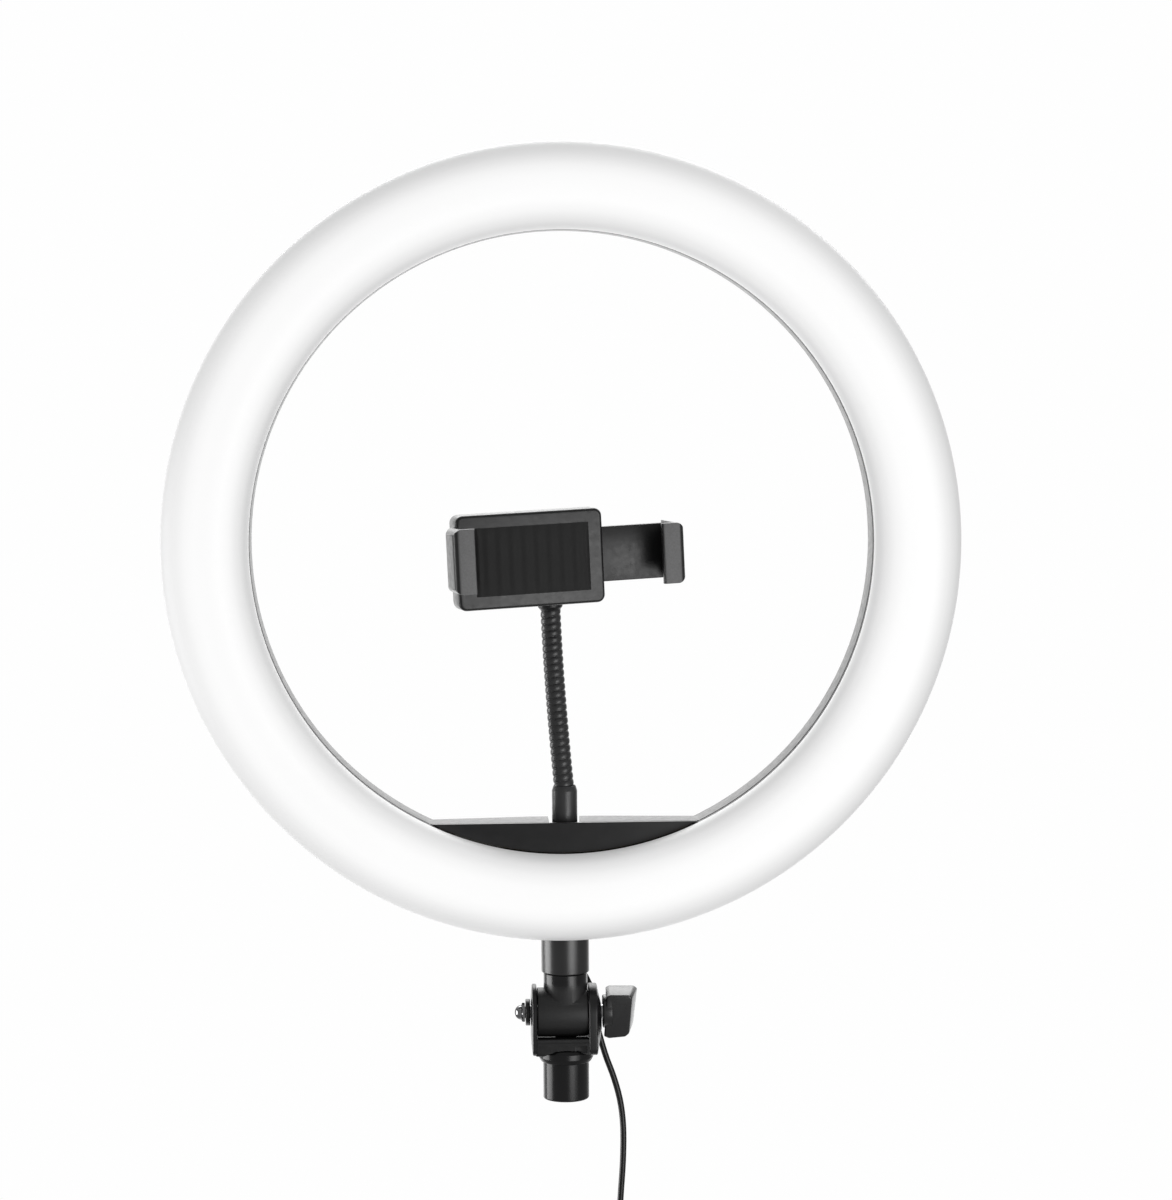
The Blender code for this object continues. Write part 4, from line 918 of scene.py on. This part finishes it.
def frame_along(p, q):
    z = (q - p).normalized()
    x = Vector((1, 0, 0))
    x = (x - z * x.dot(z)).normalized()
    m = Matrix((x, z.cross(x), z)).transposed().to_4x4()
    m.translation = p
    return m


FERRULE = plastic("ferrule_grey_plastic", (0.034, 0.034, 0.035), 0.36, 0.55)
stem = turned("stem_base_ferrule", fillet([(0, 129.0), (4.45, 129.0), (4.45, 132.6), (4.65, 132.7), (5.3, 130.6), (5.3, 115.7), (3.1, 115.7),
                                           (3.1, 107.6), (0, 107.6)], [0, 0, 0.05, 0.1, 0.7, 0.4, 0.1, 0.3, 0], 4, closed=False),
              at(0.3, 0, 0), FERRULE, 80)
place(stem, "head", "satin_black", "stem_ferrule")
TOP_F = frame_along(PIV[3], BALL)
GOOSE_END = TOP_F @ (Vector((0, 0, 5.3)) * MM)
line = [Vector((0.3, 0, 129.4)) * MM] + [neck_line(k / 90) for k in range(1, 91)] + [GOOSE_END]


def resample(pts, step):
    total = length_of(pts)
    n = int(round(total / step))
    out, run, k = [pts[0].copy()], 0.0, 0
    for j in range(1, n):
        want = total * j / n
        while run + (pts[k + 1] - pts[k]).length < want:
            run += (pts[k + 1] - pts[k]).length
            k += 1
        out.append(pts[k].lerp(pts[k + 1], (want - run) / (pts[k + 1] - pts[k]).length))
    out.append(pts[-1].copy())
    return out


spine = resample(line, 2.9 * MM / 14)
GOOSE_PITCH = 2.9
arcl = [0.0]
for a, b in zip(spine, spine[1:]):
    arcl.append(arcl[-1] + (b - a).length / MM)
tang = [(spine[min(i + 1, len(spine) - 1)] - spine[max(i - 1, 0)]).normalized() for i in range(len(spine))]
axes, x = [], Vector((1, 0, 0))
for t in tang:
    x = (x - t * x.dot(t)).normalized()
    axes.append((x.copy(), t.cross(x)))


def nearest(p):
    return min(range(len(spine)), key=lambda i: (spine[i] - p).length)


def spiral(name, i0, i1, mat, sides=40):
    """Round-wire sheath: each turn of wire is a half-round ridge, with a fine groove between turns."""
    bm = bmesh.new()
    rings = []
    for i in range(i0, i1 + 1):
        ring = []
        for k in range(sides):
            a = 2 * PI * k / sides
            f = (arcl[i] / GOOSE_PITCH - a / (2 * PI)) % 1.0
            r = 3.72 + 0.58 * math.sqrt(max(0.0, 1 - (2 * f - 1) ** 2 * 0.985))
            ring.append(bm.verts.new(spine[i] + (axes[i][0] * math.cos(a) + axes[i][1] * math.sin(a)) * r * MM))
        rings.append(ring)
    for p, q in zip(rings, rings[1:]):
        for k in range(sides):
            j = (k + 1) % sides
            bm.faces.new((p[k], p[j], q[j], q[k]))
    bm.faces.new(rings[0][::-1])
    bm.faces.new(rings[-1])
    return make(name, bm, mat, 60)


GOOSE = plastic("gooseneck_black_sheath", (0.030, 0.030, 0.031), 0.33, 0.55, 700.0, 0.00003, 0.25)
mids = [(PIV[k] + PIV[k + 1]) / 2 for k in range(3)]
cuts = [0] + [nearest(p) for p in mids] + [len(spine) - 1]
stands = [("gooseneck_link_1",), ("gooseneck_link_2",), ("gooseneck_link_3",), ()]
for k in range(4):
    g = spiral("gooseneck_spiral_%d" % (k + 1), cuts[k], cuts[k + 1], GOOSE)
    if stands[k]:
        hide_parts(*stands[k])
    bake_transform(g)
top_ferrule = turned("gooseneck_top_collar", fillet([(0, 4.2), (4.4, 4.2), (5.2, 5.2), (5.2, 14.2), (3.3, 14.2), (3.3, 8.0), (0, 8.0)],
                                                    [0, 0.2, 0.4, 0.4, 0.1, 0.1, 0], 4, closed=False), TOP_F, SATIN, 80)
place(top_ferrule, "gooseneck_4", "satin_black", "gooseneck_top_ferrule")
SB = 26.0
stud = turned("ball_pin", [(0, 8.4), (2.8, 8.4), (3.0, 8.6), (3.0, SB - math.sqrt(BALL_R ** 2 - 9))]
              + [(BALL_R * math.sin(math.radians(a)), SB - BALL_R * math.cos(math.radians(a))) for a in range(30, 180, 6)]
              + [(0, SB + BALL_R)], TOP_F, CHROME, 64)
place(stud, "ball_stud", "chrome", "ball_stud")

# ============================================================ phone clamp (clamp frame: u, v, w)
C = CLAMP
U_OUT_L, U_LIP_L, U_OUT_R, U_LIP_R, JAW_V = -50.0, -40.8, 46.6, 37.2, -21.0


def rounded_block(name, lo, hi, m, mat, plan_r, rim, segs=4):
    """Block whose corners in the u-w face are rounded by PLAN_R and whose rims by RIM (drawn along v)."""
    m2 = m @ Matrix(((1, 0, 0, 0), (0, 0, 1, 0), (0, 1, 0, 0), (0, 0, 0, 1)))
    pts = fillet([(lo[0], lo[2]), (hi[0], lo[2]), (hi[0], hi[2]), (lo[0], hi[2])], plan_r, 8)
    return prism(name, pts, lo[1], hi[1], m2, mat, rim, segs, 50)


V_AXIS = tuple(C.to_3x3() @ Vector((0, 1, 0)))
# the jaws' front faces are painted light grey: painted light standing in for the light they catch
JAW = plastic("jaw_plastic", (0.0095, 0.0095, 0.0098), 0.34, 0.5,
              finish_and_painted_light_zone=(tuple(C.translation), V_AXIS, (JAW_V + 0.35) * MM, (JAW_V + 0.05) * MM, (0.165, 0.165, 0.166), 0.25))
body = rounded_block("clamp_body_shell", (-45.5, -5.0, -19.5), (16.0, 7.7, 19.5), C, JAW, 3.2, 1.2)
jaw_l = fillet([(-41.0, -2.0), (-46.5, -2.0), (U_OUT_L, -5.5), (U_OUT_L, JAW_V), (U_LIP_L, JAW_V),
                (U_LIP_L, JAW_V + 3.0), (-46.6, JAW_V + 3.8), (-46.6, -6.2), (-45.6, -5.0), (-41.0, -5.0)],
               [0, 1.0, 1.5, 3.0, 1.2, 0.8, 0.6, 0.4, 0, 0], 6)
jaw = prism("fixed_jaw", jaw_l, -11.5, 15.0, C, JAW, 0.9, 4, 45)
combine(jaw, [rounded_block("jaw_corners_l", (-50.2, -22.0, -11.6), (-30.0, 1.0, 15.1), C, JAW, 4.0, 0.0)], "INTERSECT")
combine(body, [jaw], "UNION")
combine(body, [block("body_hollow", (-42.5, -2.6, -17.0), (13.5, 12.0, 17.0), C, SATIN),
               block("slider_slot", (10.0, -1.4, -12.0), (20.0, 2.4, 12.0), C, SATIN)])
place(body, "clamp", "satin_black", "clamp_body")


def ribbed_pad(name, lo, hi, m, axis_len, count, mat):
    """Rubber facing: a block with softly rounded rims."""
    return block(name, lo, hi, m, mat, 0.3, 3)


pad_l = ribbed_pad("fixed_jaw_rubber", (-46.3, -16.8, -9.5), (-45.0, -7.0, 13.0), C, "w", 6, RUBBER)
place(pad_l, "clamp", "rubber", "fixed_jaw_pad")


def wavy_sheet(name, u0, u1, w0, w1, v_back, v_front, ribs, m, mat, nu=96, nw=10):
    """Soft facing in the u-w plane with rounded grooves across it; the front looks along -v."""
    bm = bmesh.new()
    front, back = [], []
    for i in range(nu + 1):
        fu = i / nu
        edge_u = min(1.0, min(fu, 1 - fu) * nu / 3)
        rf, rb = [], []
        for j in range(nw + 1):
            fw = j / nw
            edge_w = 1.0 if 0 < j < nw else 0.35
            rib = 0.5 + 0.5 * math.cos(2 * PI * ribs * fu)
            v = v_front + (v_back - v_front) * (1 - edge_u * edge_w * (0.62 + 0.38 * rib))
            u, w = u0 + (u1 - u0) * fu, w0 + (w1 - w0) * fw
            rf.append(bm.verts.new(m @ (Vector((u, v, w)) * MM)))
            rb.append(bm.verts.new(m @ (Vector((u, v_back, w)) * MM)))
        front.append(rf)
        back.append(rb)
    for i in range(nu):
        for j in range(nw):
            bm.faces.new((front[i][j], front[i + 1][j], front[i + 1][j + 1], front[i][j + 1]))
            bm.faces.new((back[i][j], back[i][j + 1], back[i + 1][j + 1], back[i + 1][j]))
    rim = ([(i, 0) for i in range(nu)] + [(nu, j) for j in range(nw)] + [(i, nw) for i in range(nu, 0, -1)]
           + [(0, j) for j in range(nw, 0, -1)])
    for (i, j), (k, l) in zip(rim, rim[1:] + rim[:1]):
        vs = (front[i][j], front[k][l], back[k][l], back[i][j])
        if len(set(vs)) == 4 and (vs[0].co - vs[3].co).length > 1e-7 or (vs[1].co - vs[2].co).length > 1e-7:
            try:
                bm.faces.new(vs)
            except ValueError:
                pass
    return make(name, bm, mat, 40)


body_pad = wavy_sheet("clamp_rubber_pad", -38.0, 10.0, -14.0, 14.0, -5.3, -6.5, 9, C, RUBBER)
place(body_pad, "clamp", "rubber", "clamp_body_pad")

cover = rounded_block("clamp_rear_cover", (-45.0, 8.0, -19.0), (15.5, 10.0, 19.0), C, SATIN, 3.0, 0.6)
arm = block("arm", (-8.0, 9.0, BALL_W - 3.9), (8.0, 24.0, 7.5), C, SATIN, 1.6, 4)
hub = turned("hub", fillet([(0, BALL_W - 4.1), (11.6, BALL_W - 4.1), (11.6, BALL_W + 11.2), (0, BALL_W + 11.2)], [0, 0.3, 2.4, 0], 6, closed=False),
             at(0, BALL_V, 0, C), SATIN, 96)
combine(cover, [arm, hub], "UNION")
cav = turned("ball_cavity", [(8.6 * math.sin(math.radians(a)), BALL_W + 8.6 * math.cos(math.radians(a))) for a in range(0, 91, 6)]
             + [(8.6, BALL_W - 5), (0, BALL_W - 5)], at(0, BALL_V, 0, C), SATIN, 64)
clear = turned("ring_clear", [(11.65, -14), (15.2, -14), (15.2, BALL_W + 4.6), (11.65, BALL_W + 4.6)], at(0, BALL_V, 0, C), SATIN, 96,
               closed=True)
combine(cover, [cav, clear])
place(cover, "clamp", "satin_black", "clamp_back_cover")


def knurl(r, z, a):
    """Rounded finger ribs round the grip."""
    if r < 14.0 or not (BALL_W - 6.2 < z < BALL_W + 3.6):
        return r
    return r - 0.55 * (0.5 + 0.5 * math.cos(30 * a)) ** 2


lock = turned("ball_lock_collar", [(11.9, BALL_W + 4.2), (13.7, BALL_W + 4.2), (14.2, BALL_W + 4.0), (14.6, BALL_W + 3.55),
                                   (14.8, BALL_W + 3.1), (14.8, BALL_W + 1.0), (14.8, BALL_W - 2.0), (14.8, BALL_W - 5.6),
                                   (14.6, BALL_W - 6.25), (14.0, BALL_W - 6.75), (8.9, BALL_W - 6.8), (8.3, BALL_W - 6.55),
                                   (7.5, BALL_W - 4.5), (11.9, BALL_W - 4.5)],
              at(0, BALL_V, 0, C), MATT, 240, closed=True, wave=knurl)
place(lock, "lock_ring", "matt_black", "ball_lock_ring")

slider = block("sliding_plate", (-22.0, -0.9, -11.4), (44.0, 1.9, 11.4), C, JAW, 0.4, 2)
jaw_r = fillet([(43.0, -1.0), (43.0, 2.2), (44.8, 2.2), (U_OUT_R, 0.4), (U_OUT_R, JAW_V), (U_LIP_R, JAW_V),
                (U_LIP_R, JAW_V + 3.0), (43.2, JAW_V + 3.8)], [0, 0.2, 0.8, 1.0, 3.0, 1.2, 0.8, 0.6], 6)
jaw_form = prism("sliding_jaw_form", jaw_r, -12.4, 12.4, C, JAW, 0.9, 4, 45)
combine(jaw_form, [rounded_block("jaw_corners_r", (25.0, -22.0, -12.5), (46.8, 3.0, 12.5), C, JAW, 4.2, 0.0)], "INTERSECT")
combine(slider, [jaw_form,
                 block("spring_tab", (-22.0, 1.0, -9.5), (-20.4, 6.9, 9.5), C, SATIN, 0.3, 2)], "UNION")
place(slider, "sliding_jaw", "satin_black", "sliding_bracket")
pad_r = ribbed_pad("sliding_jaw_rubber", (41.6, -16.8, -10.4), (42.9, -5.6, 10.4), C, "w", 6, RUBBER)
place(pad_r, "sliding_jaw", "rubber", "sliding_jaw_pad")


def spring_line(w):
    n, turns, r = 260, 9, 1.7
    pts = []
    for i in range(n + 1):
        f = i / n
        u = -40.2 + 18.0 * f
        rr = r * min(1.0, 6 * f, 6 * (1 - f))
        a = 2 * PI * turns * f
        pts.append(C @ (Vector((u, 5.0 + rr * math.cos(a), w + rr * math.sin(a))) * MM))
    return pts


for nm, w in (("upper", 7.0), ("lower", -7.0)):
    s = pipe("return_spring_" + nm, spring_line(w), 0.33 * MM, SPRING, sides=8)
    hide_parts("clamp_spring_" + nm)
    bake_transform(s)

# ============================================================ controller, relief, plug
relief_prof = fillet([(1.45, -8.6), (4.2, -8.6), (4.2, -9.7), (2.7, -9.7), (2.7, -12.3), (4.6, -12.3), (4.6, -13.6)],
                     [0, 0.3, 0.1, 0.1, 0.1, 0.3, 0.4], 3, closed=False)
for k in range(6):                          # tapered boot with rounded flex ribs
    z, r = -14.2 - 1.22 * k, 3.45 - 0.2 * k
    relief_prof += [(r, z), (r, z - 0.25), (r - 0.1, z - 0.62), (r - 0.55, z - 0.7), (r - 0.6, z - 1.0), (r - 0.5, z - 1.1)]
relief_prof += [(2.35, -21.7), (2.2, -22.0), (1.45, -22.0)]
relief = turned("cord_relief_boot", relief_prof, along_y(at(4.0, 0, 80.5)), RUBBER, 56, closed=True)
place(relief, "head", "rubber", "cord_strain_relief")

CT, CB = -60.3, -124.0
CF = at(22.8, 18.0, 0)


def shell(name, y0, y1, hollow, mat):
    outline = fillet([(-8.0, CB), (8.0, CB), (8.0, CT), (-8.0, CT)], [4.0, 4.0, 4.0, 4.0], 8)
    ob = prism(name, outline, -y1, -y0, CF @ FRONT, mat, 0, 3)
    return ob


def half_shell(name, y_seam, y_face, mat):
    """Half of the controller: rounded outline, soft rim on the face, crisp edge at the seam."""
    n = 6
    rim = 1.5
    side = 1 if y_face > y_seam else -1
    steps = [(0.0, y_seam), (0.25, y_seam), (0.0, y_seam + side * 0.25)]
    prof = [(0.25, y_seam), (0.0, y_seam + side * 0.22)]
    prof += [(rim * (1 - math.cos(a)), y_face - side * rim * (1 - math.sin(a))) for a in [PI / 2 * i / n for i in range(n + 1)]]
    bm = bmesh.new()
    rings = []
    for inset, y in prof:
        o = fillet([(-8.0 + inset, CB + inset), (8.0 - inset, CB + inset), (8.0 - inset, CT - inset), (-8.0 + inset, CT - inset)],
                   max(0.6, 4.0 - inset), 8)
        rings.append([bm.verts.new(CF @ (Vector((px, y, pz)) * MM)) for px, pz in o])
    m = len(rings[0])
    for p, q in zip(rings, rings[1:]):
        for k in range(m):
            bm.faces.new((p[k], p[(k + 1) % m], q[(k + 1) % m], q[k]))
    bm.faces.new(rings[0][::-1])
    bm.faces.new(rings[-1])
    return make(name, bm, mat, 30)


BUTTON_Z = (-73.0, -85.5, -98.0, -110.5)
BUTTON_NAMES = ("power_button", "colour_button", "brighter_button", "dimmer_button")
front = half_shell("controller_front", -0.15, -4.6, SATIN)
cutters = [block("front_hollow", (-6.4, -3.2, CB + 1.8), (6.4, 3.0, CT - 1.8), CF, SATIN)]
for k, z in enumerate(BUTTON_Z):
    cutters.append(rounded_block("opening_%d" % k, (-4.3, -8, z - 4.0), (4.3, -2, z + 4.0), CF, SATIN, 1.3, 0))
cutters.append(rod("port_top", 1.5, CT - 4, CT + 4, CF, seg=32))
cutters.append(rod("port_low", 1.5, CB - 4, CB + 4, CF, seg=32))
combine(front, cutters)
place(front, "yoke", "satin_black", "controller_front_shell")
rear = half_shell("controller_rear", 0.15, 4.6, SATIN)
combine(rear, [block("rear_hollow", (-6.4, -3.0, CB + 1.8), (6.4, 3.2, CT - 1.8), CF, SATIN),
               rod("port_top2", 1.5, CT - 4, CT + 4, CF, seg=32), rod("port_low2", 1.5, CB - 4, CB + 4, CF, seg=32)])
place(rear, "yoke", "satin_black", "controller_rear_shell")


def push_button(name, z, marks):
    """Dished key with a raised tactile mark."""
    bm = bmesh.new()
    prof = [(0.0, -2.45), (0.0, -5.35), (0.12, -5.6), (0.32, -5.78), (0.62, -5.88), (1.0, -5.9), (1.7, -5.82), (2.6, -5.72)]
    rings = []
    for inset, y in prof:
        o = fillet([(-4.0 + inset, z - 3.7 + inset), (4.0 - inset, z - 3.7 + inset), (4.0 - inset, z + 3.7 - inset), (-4.0 + inset, z + 3.7 - inset)],
                   max(0.35, 1.1 - inset * 0.4), 6)
        rings.append([bm.verts.new(CF @ (Vector((px, y, pz)) * MM)) for px, pz in o])
    m = len(rings[0])
    for p, q in zip(rings, rings[1:]):
        for k in range(m):
            bm.faces.new((p[k], p[(k + 1) % m], q[(k + 1) % m], q[k]))
    bm.faces.new(rings[0][::-1])
    bm.faces.new(rings[-1])
    ob = make(name, bm, BUTTON, 30)
    combine(ob, [rounded_block(name + "_mark_%d" % i, (a, -5.95, z + b), (c, -5.4, z + d), CF, BUTTON, 0.15, 0.08, 2)
                 for i, (a, b, c, d) in enumerate(marks)], "UNION")
    return ob


marks = {"power_button": [(-0.25, -1.2, 0.25, 1.2)],
         "colour_button": [(-1.3, 0.35, 1.3, 0.8), (-1.3, -0.8, 1.3, -0.35)],
         "brighter_button": [(-1.2, -0.22, 1.2, 0.22), (-0.22, -1.2, 0.22, 1.2)],
         "dimmer_button": [(-1.2, -0.22, 1.2, 0.22)]}
for nm, z in zip(BUTTON_NAMES, BUTTON_Z):
    b = push_button(nm.replace("button", "key"), z, marks[nm][:1] if nm == "brighter_button" else marks[nm])
    place(b, nm, "matt_black", nm)

# hook-and-loop tie round the coil
def tie(name, turn, width=5.0):
    bm = bmesh.new()
    a = 2 * PI * turn
    out = Vector((math.cos(a), 0, math.sin(a)))
    along = Vector((-math.sin(a), 0, math.cos(a)))
    c = COIL_C + out * COIL_R
    inner_o = fillet([(-5.5, -5.5), (5.5, -5.5), (5.5, 5.5), (-5.5, 5.5)], 2.2, 6)
    outer_o = fillet([(-6.2, -6.2), (6.2, -6.2), (6.2, 6.2), (-6.2, 6.2)], 2.9, 6)
    rings = []
    for o, w in ((inner_o, -width / 2), (outer_o, -width / 2), (outer_o, width / 2), (inner_o, width / 2)):
        rings.append([bm.verts.new((c + out * p[0] + Vector((0, 1, 0)) * p[1] + along * w) * MM) for p in o])
    m = len(rings[0])
    for p, q in zip(rings, rings[1:] + rings[:1]):
        for k in range(m):
            bm.faces.new((p[k], p[(k + 1) % m], q[(k + 1) % m], q[k]))
    ob = make(name, bm, RUBBER, 40)
    return round_edges(ob, 0.25, 2, 50)


band = tie("coil_tie", 0.08, 5.0)
place(band, "yoke", "rubber")
band2 = tie("coil_tie_lower", 0.62, 5.0)
place(band2, "yoke", "rubber")

plug_m = at(22.8, 27.9, 0)
plug = rounded_block("plug_grip", (-7.5, -3.7, -183.0), (7.5, 3.9, -158.0), plug_m, MATT, 2.6, 1.5, 5)
grips = [block("grip_%d" % k, (sx * 9.0 - 1.95, -2.6, -170.0 - 2.2 * k), (sx * 9.0 + 1.95, 2.8, -168.9 - 2.2 * k), plug_m, MATT)
         for k in range(4) for sx in (-1, 1)]
combine(plug, grips + [rod("cord_port", 1.5, -162.0, -150.0, at(22.8, 28.0, 0), seg=32)])
place(plug, "yoke", "matt_black", "usb_plug_body")
shell_m = at(22.8, 28.0, 0)
PLUG_STEEL = metal("plug_shell_steel", (0.40, 0.40, 0.41), 0.2, (1, 1, 5), edge=(0.3, 0.3, 0.3))
usb = block("plug_contact_shell", (-6.0, -2.25, -195.3), (6.0, 2.25, -183.3), shell_m, PLUG_STEEL, 0.35, 3)
combine(usb, [block("mouth", (-5.6, -1.85, -199.0), (5.6, 1.85, -184.0), shell_m, PLUG_STEEL),
              block("window_a", (-4.2, -4.0, -191.2), (-1.8, 4.0, -188.6), shell_m, CHROME),
              block("window_b", (1.8, -4.0, -191.2), (4.2, 4.0, -188.6), shell_m, CHROME)])
tongue_mat = plastic("plug_tongue_white", (0.72, 0.72, 0.70), 0.45, 0.4)
tongue = block("plug_tongue", (-5.2, -1.5, -194.6), (5.2, 0.3, -184.1), shell_m, tongue_mat, 0.25, 2)
place(usb, "yoke", "chrome", "usb_plug_shell")
place(tongue, "yoke", "matt_black")

# ============================================================ frame nodes that keep their own shape
KEEP = {"led_board": BOARD_WHITE, "cool_white_led_strip": LED_COOL, "warm_white_led_strip": LED_WARM, "driver_board": BOARD_GREEN,
        "controller_board": BOARD_GREEN, "head_wiring": CORD_PVC, "neck_lock_nut": STEEL, "stem_lock_nut": STEEL,
        "ball_liner": MATT, "spring_anchor_bar": STEEL}
for node, mat in KEEP.items():
    ob = NODES[node]
    if not ob.material_slots:
        ob.data.materials.append(mat)
    for s in ob.material_slots:
        s.material = mat

# ============================================================ studio: soft boxes in a surround that is dark in front and bright behind
world = bpy.data.worlds.new("studio")
SCENE.world = world
world.use_nodes = True
wt = world.node_tree
bg = wt.nodes["Background"]
co = wt.nodes.new("ShaderNodeTexCoord")
sp = wt.nodes.new("ShaderNodeSeparateXYZ")
wt.links.new(co.outputs["Generated"], sp.inputs["Vector"])
flip = wt.nodes.new("ShaderNodeMath")
flip.operation = "MULTIPLY"
flip.inputs[1].default_value = -1.0
wt.links.new(sp.outputs["Y"], flip.inputs[0])
az = wt.nodes.new("ShaderNodeMath")
az.operation = "ARCTAN2"
wt.links.new(sp.outputs["X"], az.inputs[0])
wt.links.new(flip.outputs[0], az.inputs[1])
unit = wt.nodes.new("ShaderNodeMapRange")
for k, v in (("From Min", -PI), ("From Max", PI), ("To Min", 0.0), ("To Max", 1.0)):
    unit.inputs[k].default_value = v
wt.links.new(az.outputs[0], unit.inputs["Value"])
ring_ramp = wt.nodes.new("ShaderNodeValToRGB")
el = ring_ramp.color_ramp.elements
WALLS = [(-180, 0.90), (-152, 0.85), (-132, 0.30), (-112, 0.14), (-60, 0.14), (0, 0.16), (60, 0.14), (128, 0.13), (150, 0.55),
         (160, 0.85), (180, 0.90)]
el[0].position, el[0].color = 0.0, (*[WALLS[0][1]] * 3, 1)
el[1].position, el[1].color = 1.0, (*[WALLS[-1][1]] * 3, 1)
for deg, v in WALLS[1:-1]:
    e = el.new((deg + 180) / 360)
    e.color = (v, v, v, 1)
wt.links.new(unit.outputs["Result"], ring_ramp.inputs["Fac"])
wt.links.new(ring_ramp.outputs["Color"], bg.inputs["Color"])
bg.inputs["Strength"].default_value = 2.0
pale = wt.nodes.new("ShaderNodeBackground")
pale.inputs["Color"].default_value = (1, 1, 1, 1)
pale.inputs["Strength"].default_value = 0.992
seen = wt.nodes.new("ShaderNodeLightPath")
both = wt.nodes.new("ShaderNodeMixShader")
wt.links.new(seen.outputs["Is Camera Ray"], both.inputs["Fac"])
wt.links.new(bg.outputs["Background"], both.inputs[1])
wt.links.new(pale.outputs["Background"], both.inputs[2])
wt.links.new(both.outputs["Shader"], wt.nodes["World Output"].inputs["Surface"])


def softbox(name, where, aim, size, power):
    d = bpy.data.lights.new(name, "AREA")
    d.shape = "RECTANGLE"
    d.size, d.size_y = size
    d.energy = power
    o = bpy.data.objects.new(name, d)
    SCENE.collection.objects.link(o)
    o.location = where
    o.rotation_euler = (Vector(aim) - Vector(where)).to_track_quat("-Z", "Y").to_euler()
    return o


def around(azimuth, dist, z):
    a = math.radians(azimuth)
    return (dist * math.sin(a), -dist * math.cos(a), z)


softbox("strip_left", around(-97, 1.9, -0.12), (0, 0, 0.08), (1.3, 1.25), 5.6 * PI * 1.3 * 1.25)
softbox("strip_right_core", around(30, 1.9, -0.12), (0, 0, 0.08), (0.8, 1.25), 2.2 * PI * 0.8 * 1.25)
softbox("strip_right_wide", around(33, 1.95, -0.12), (0, 0, 0.08), (1.6, 1.25), 1.5 * PI * 1.6 * 1.25)
softbox("top_back", (0.2, 1.35, 1.45), (0, 0, 0.15), (2.4, 1.3), 3.0 * PI * 3.12)
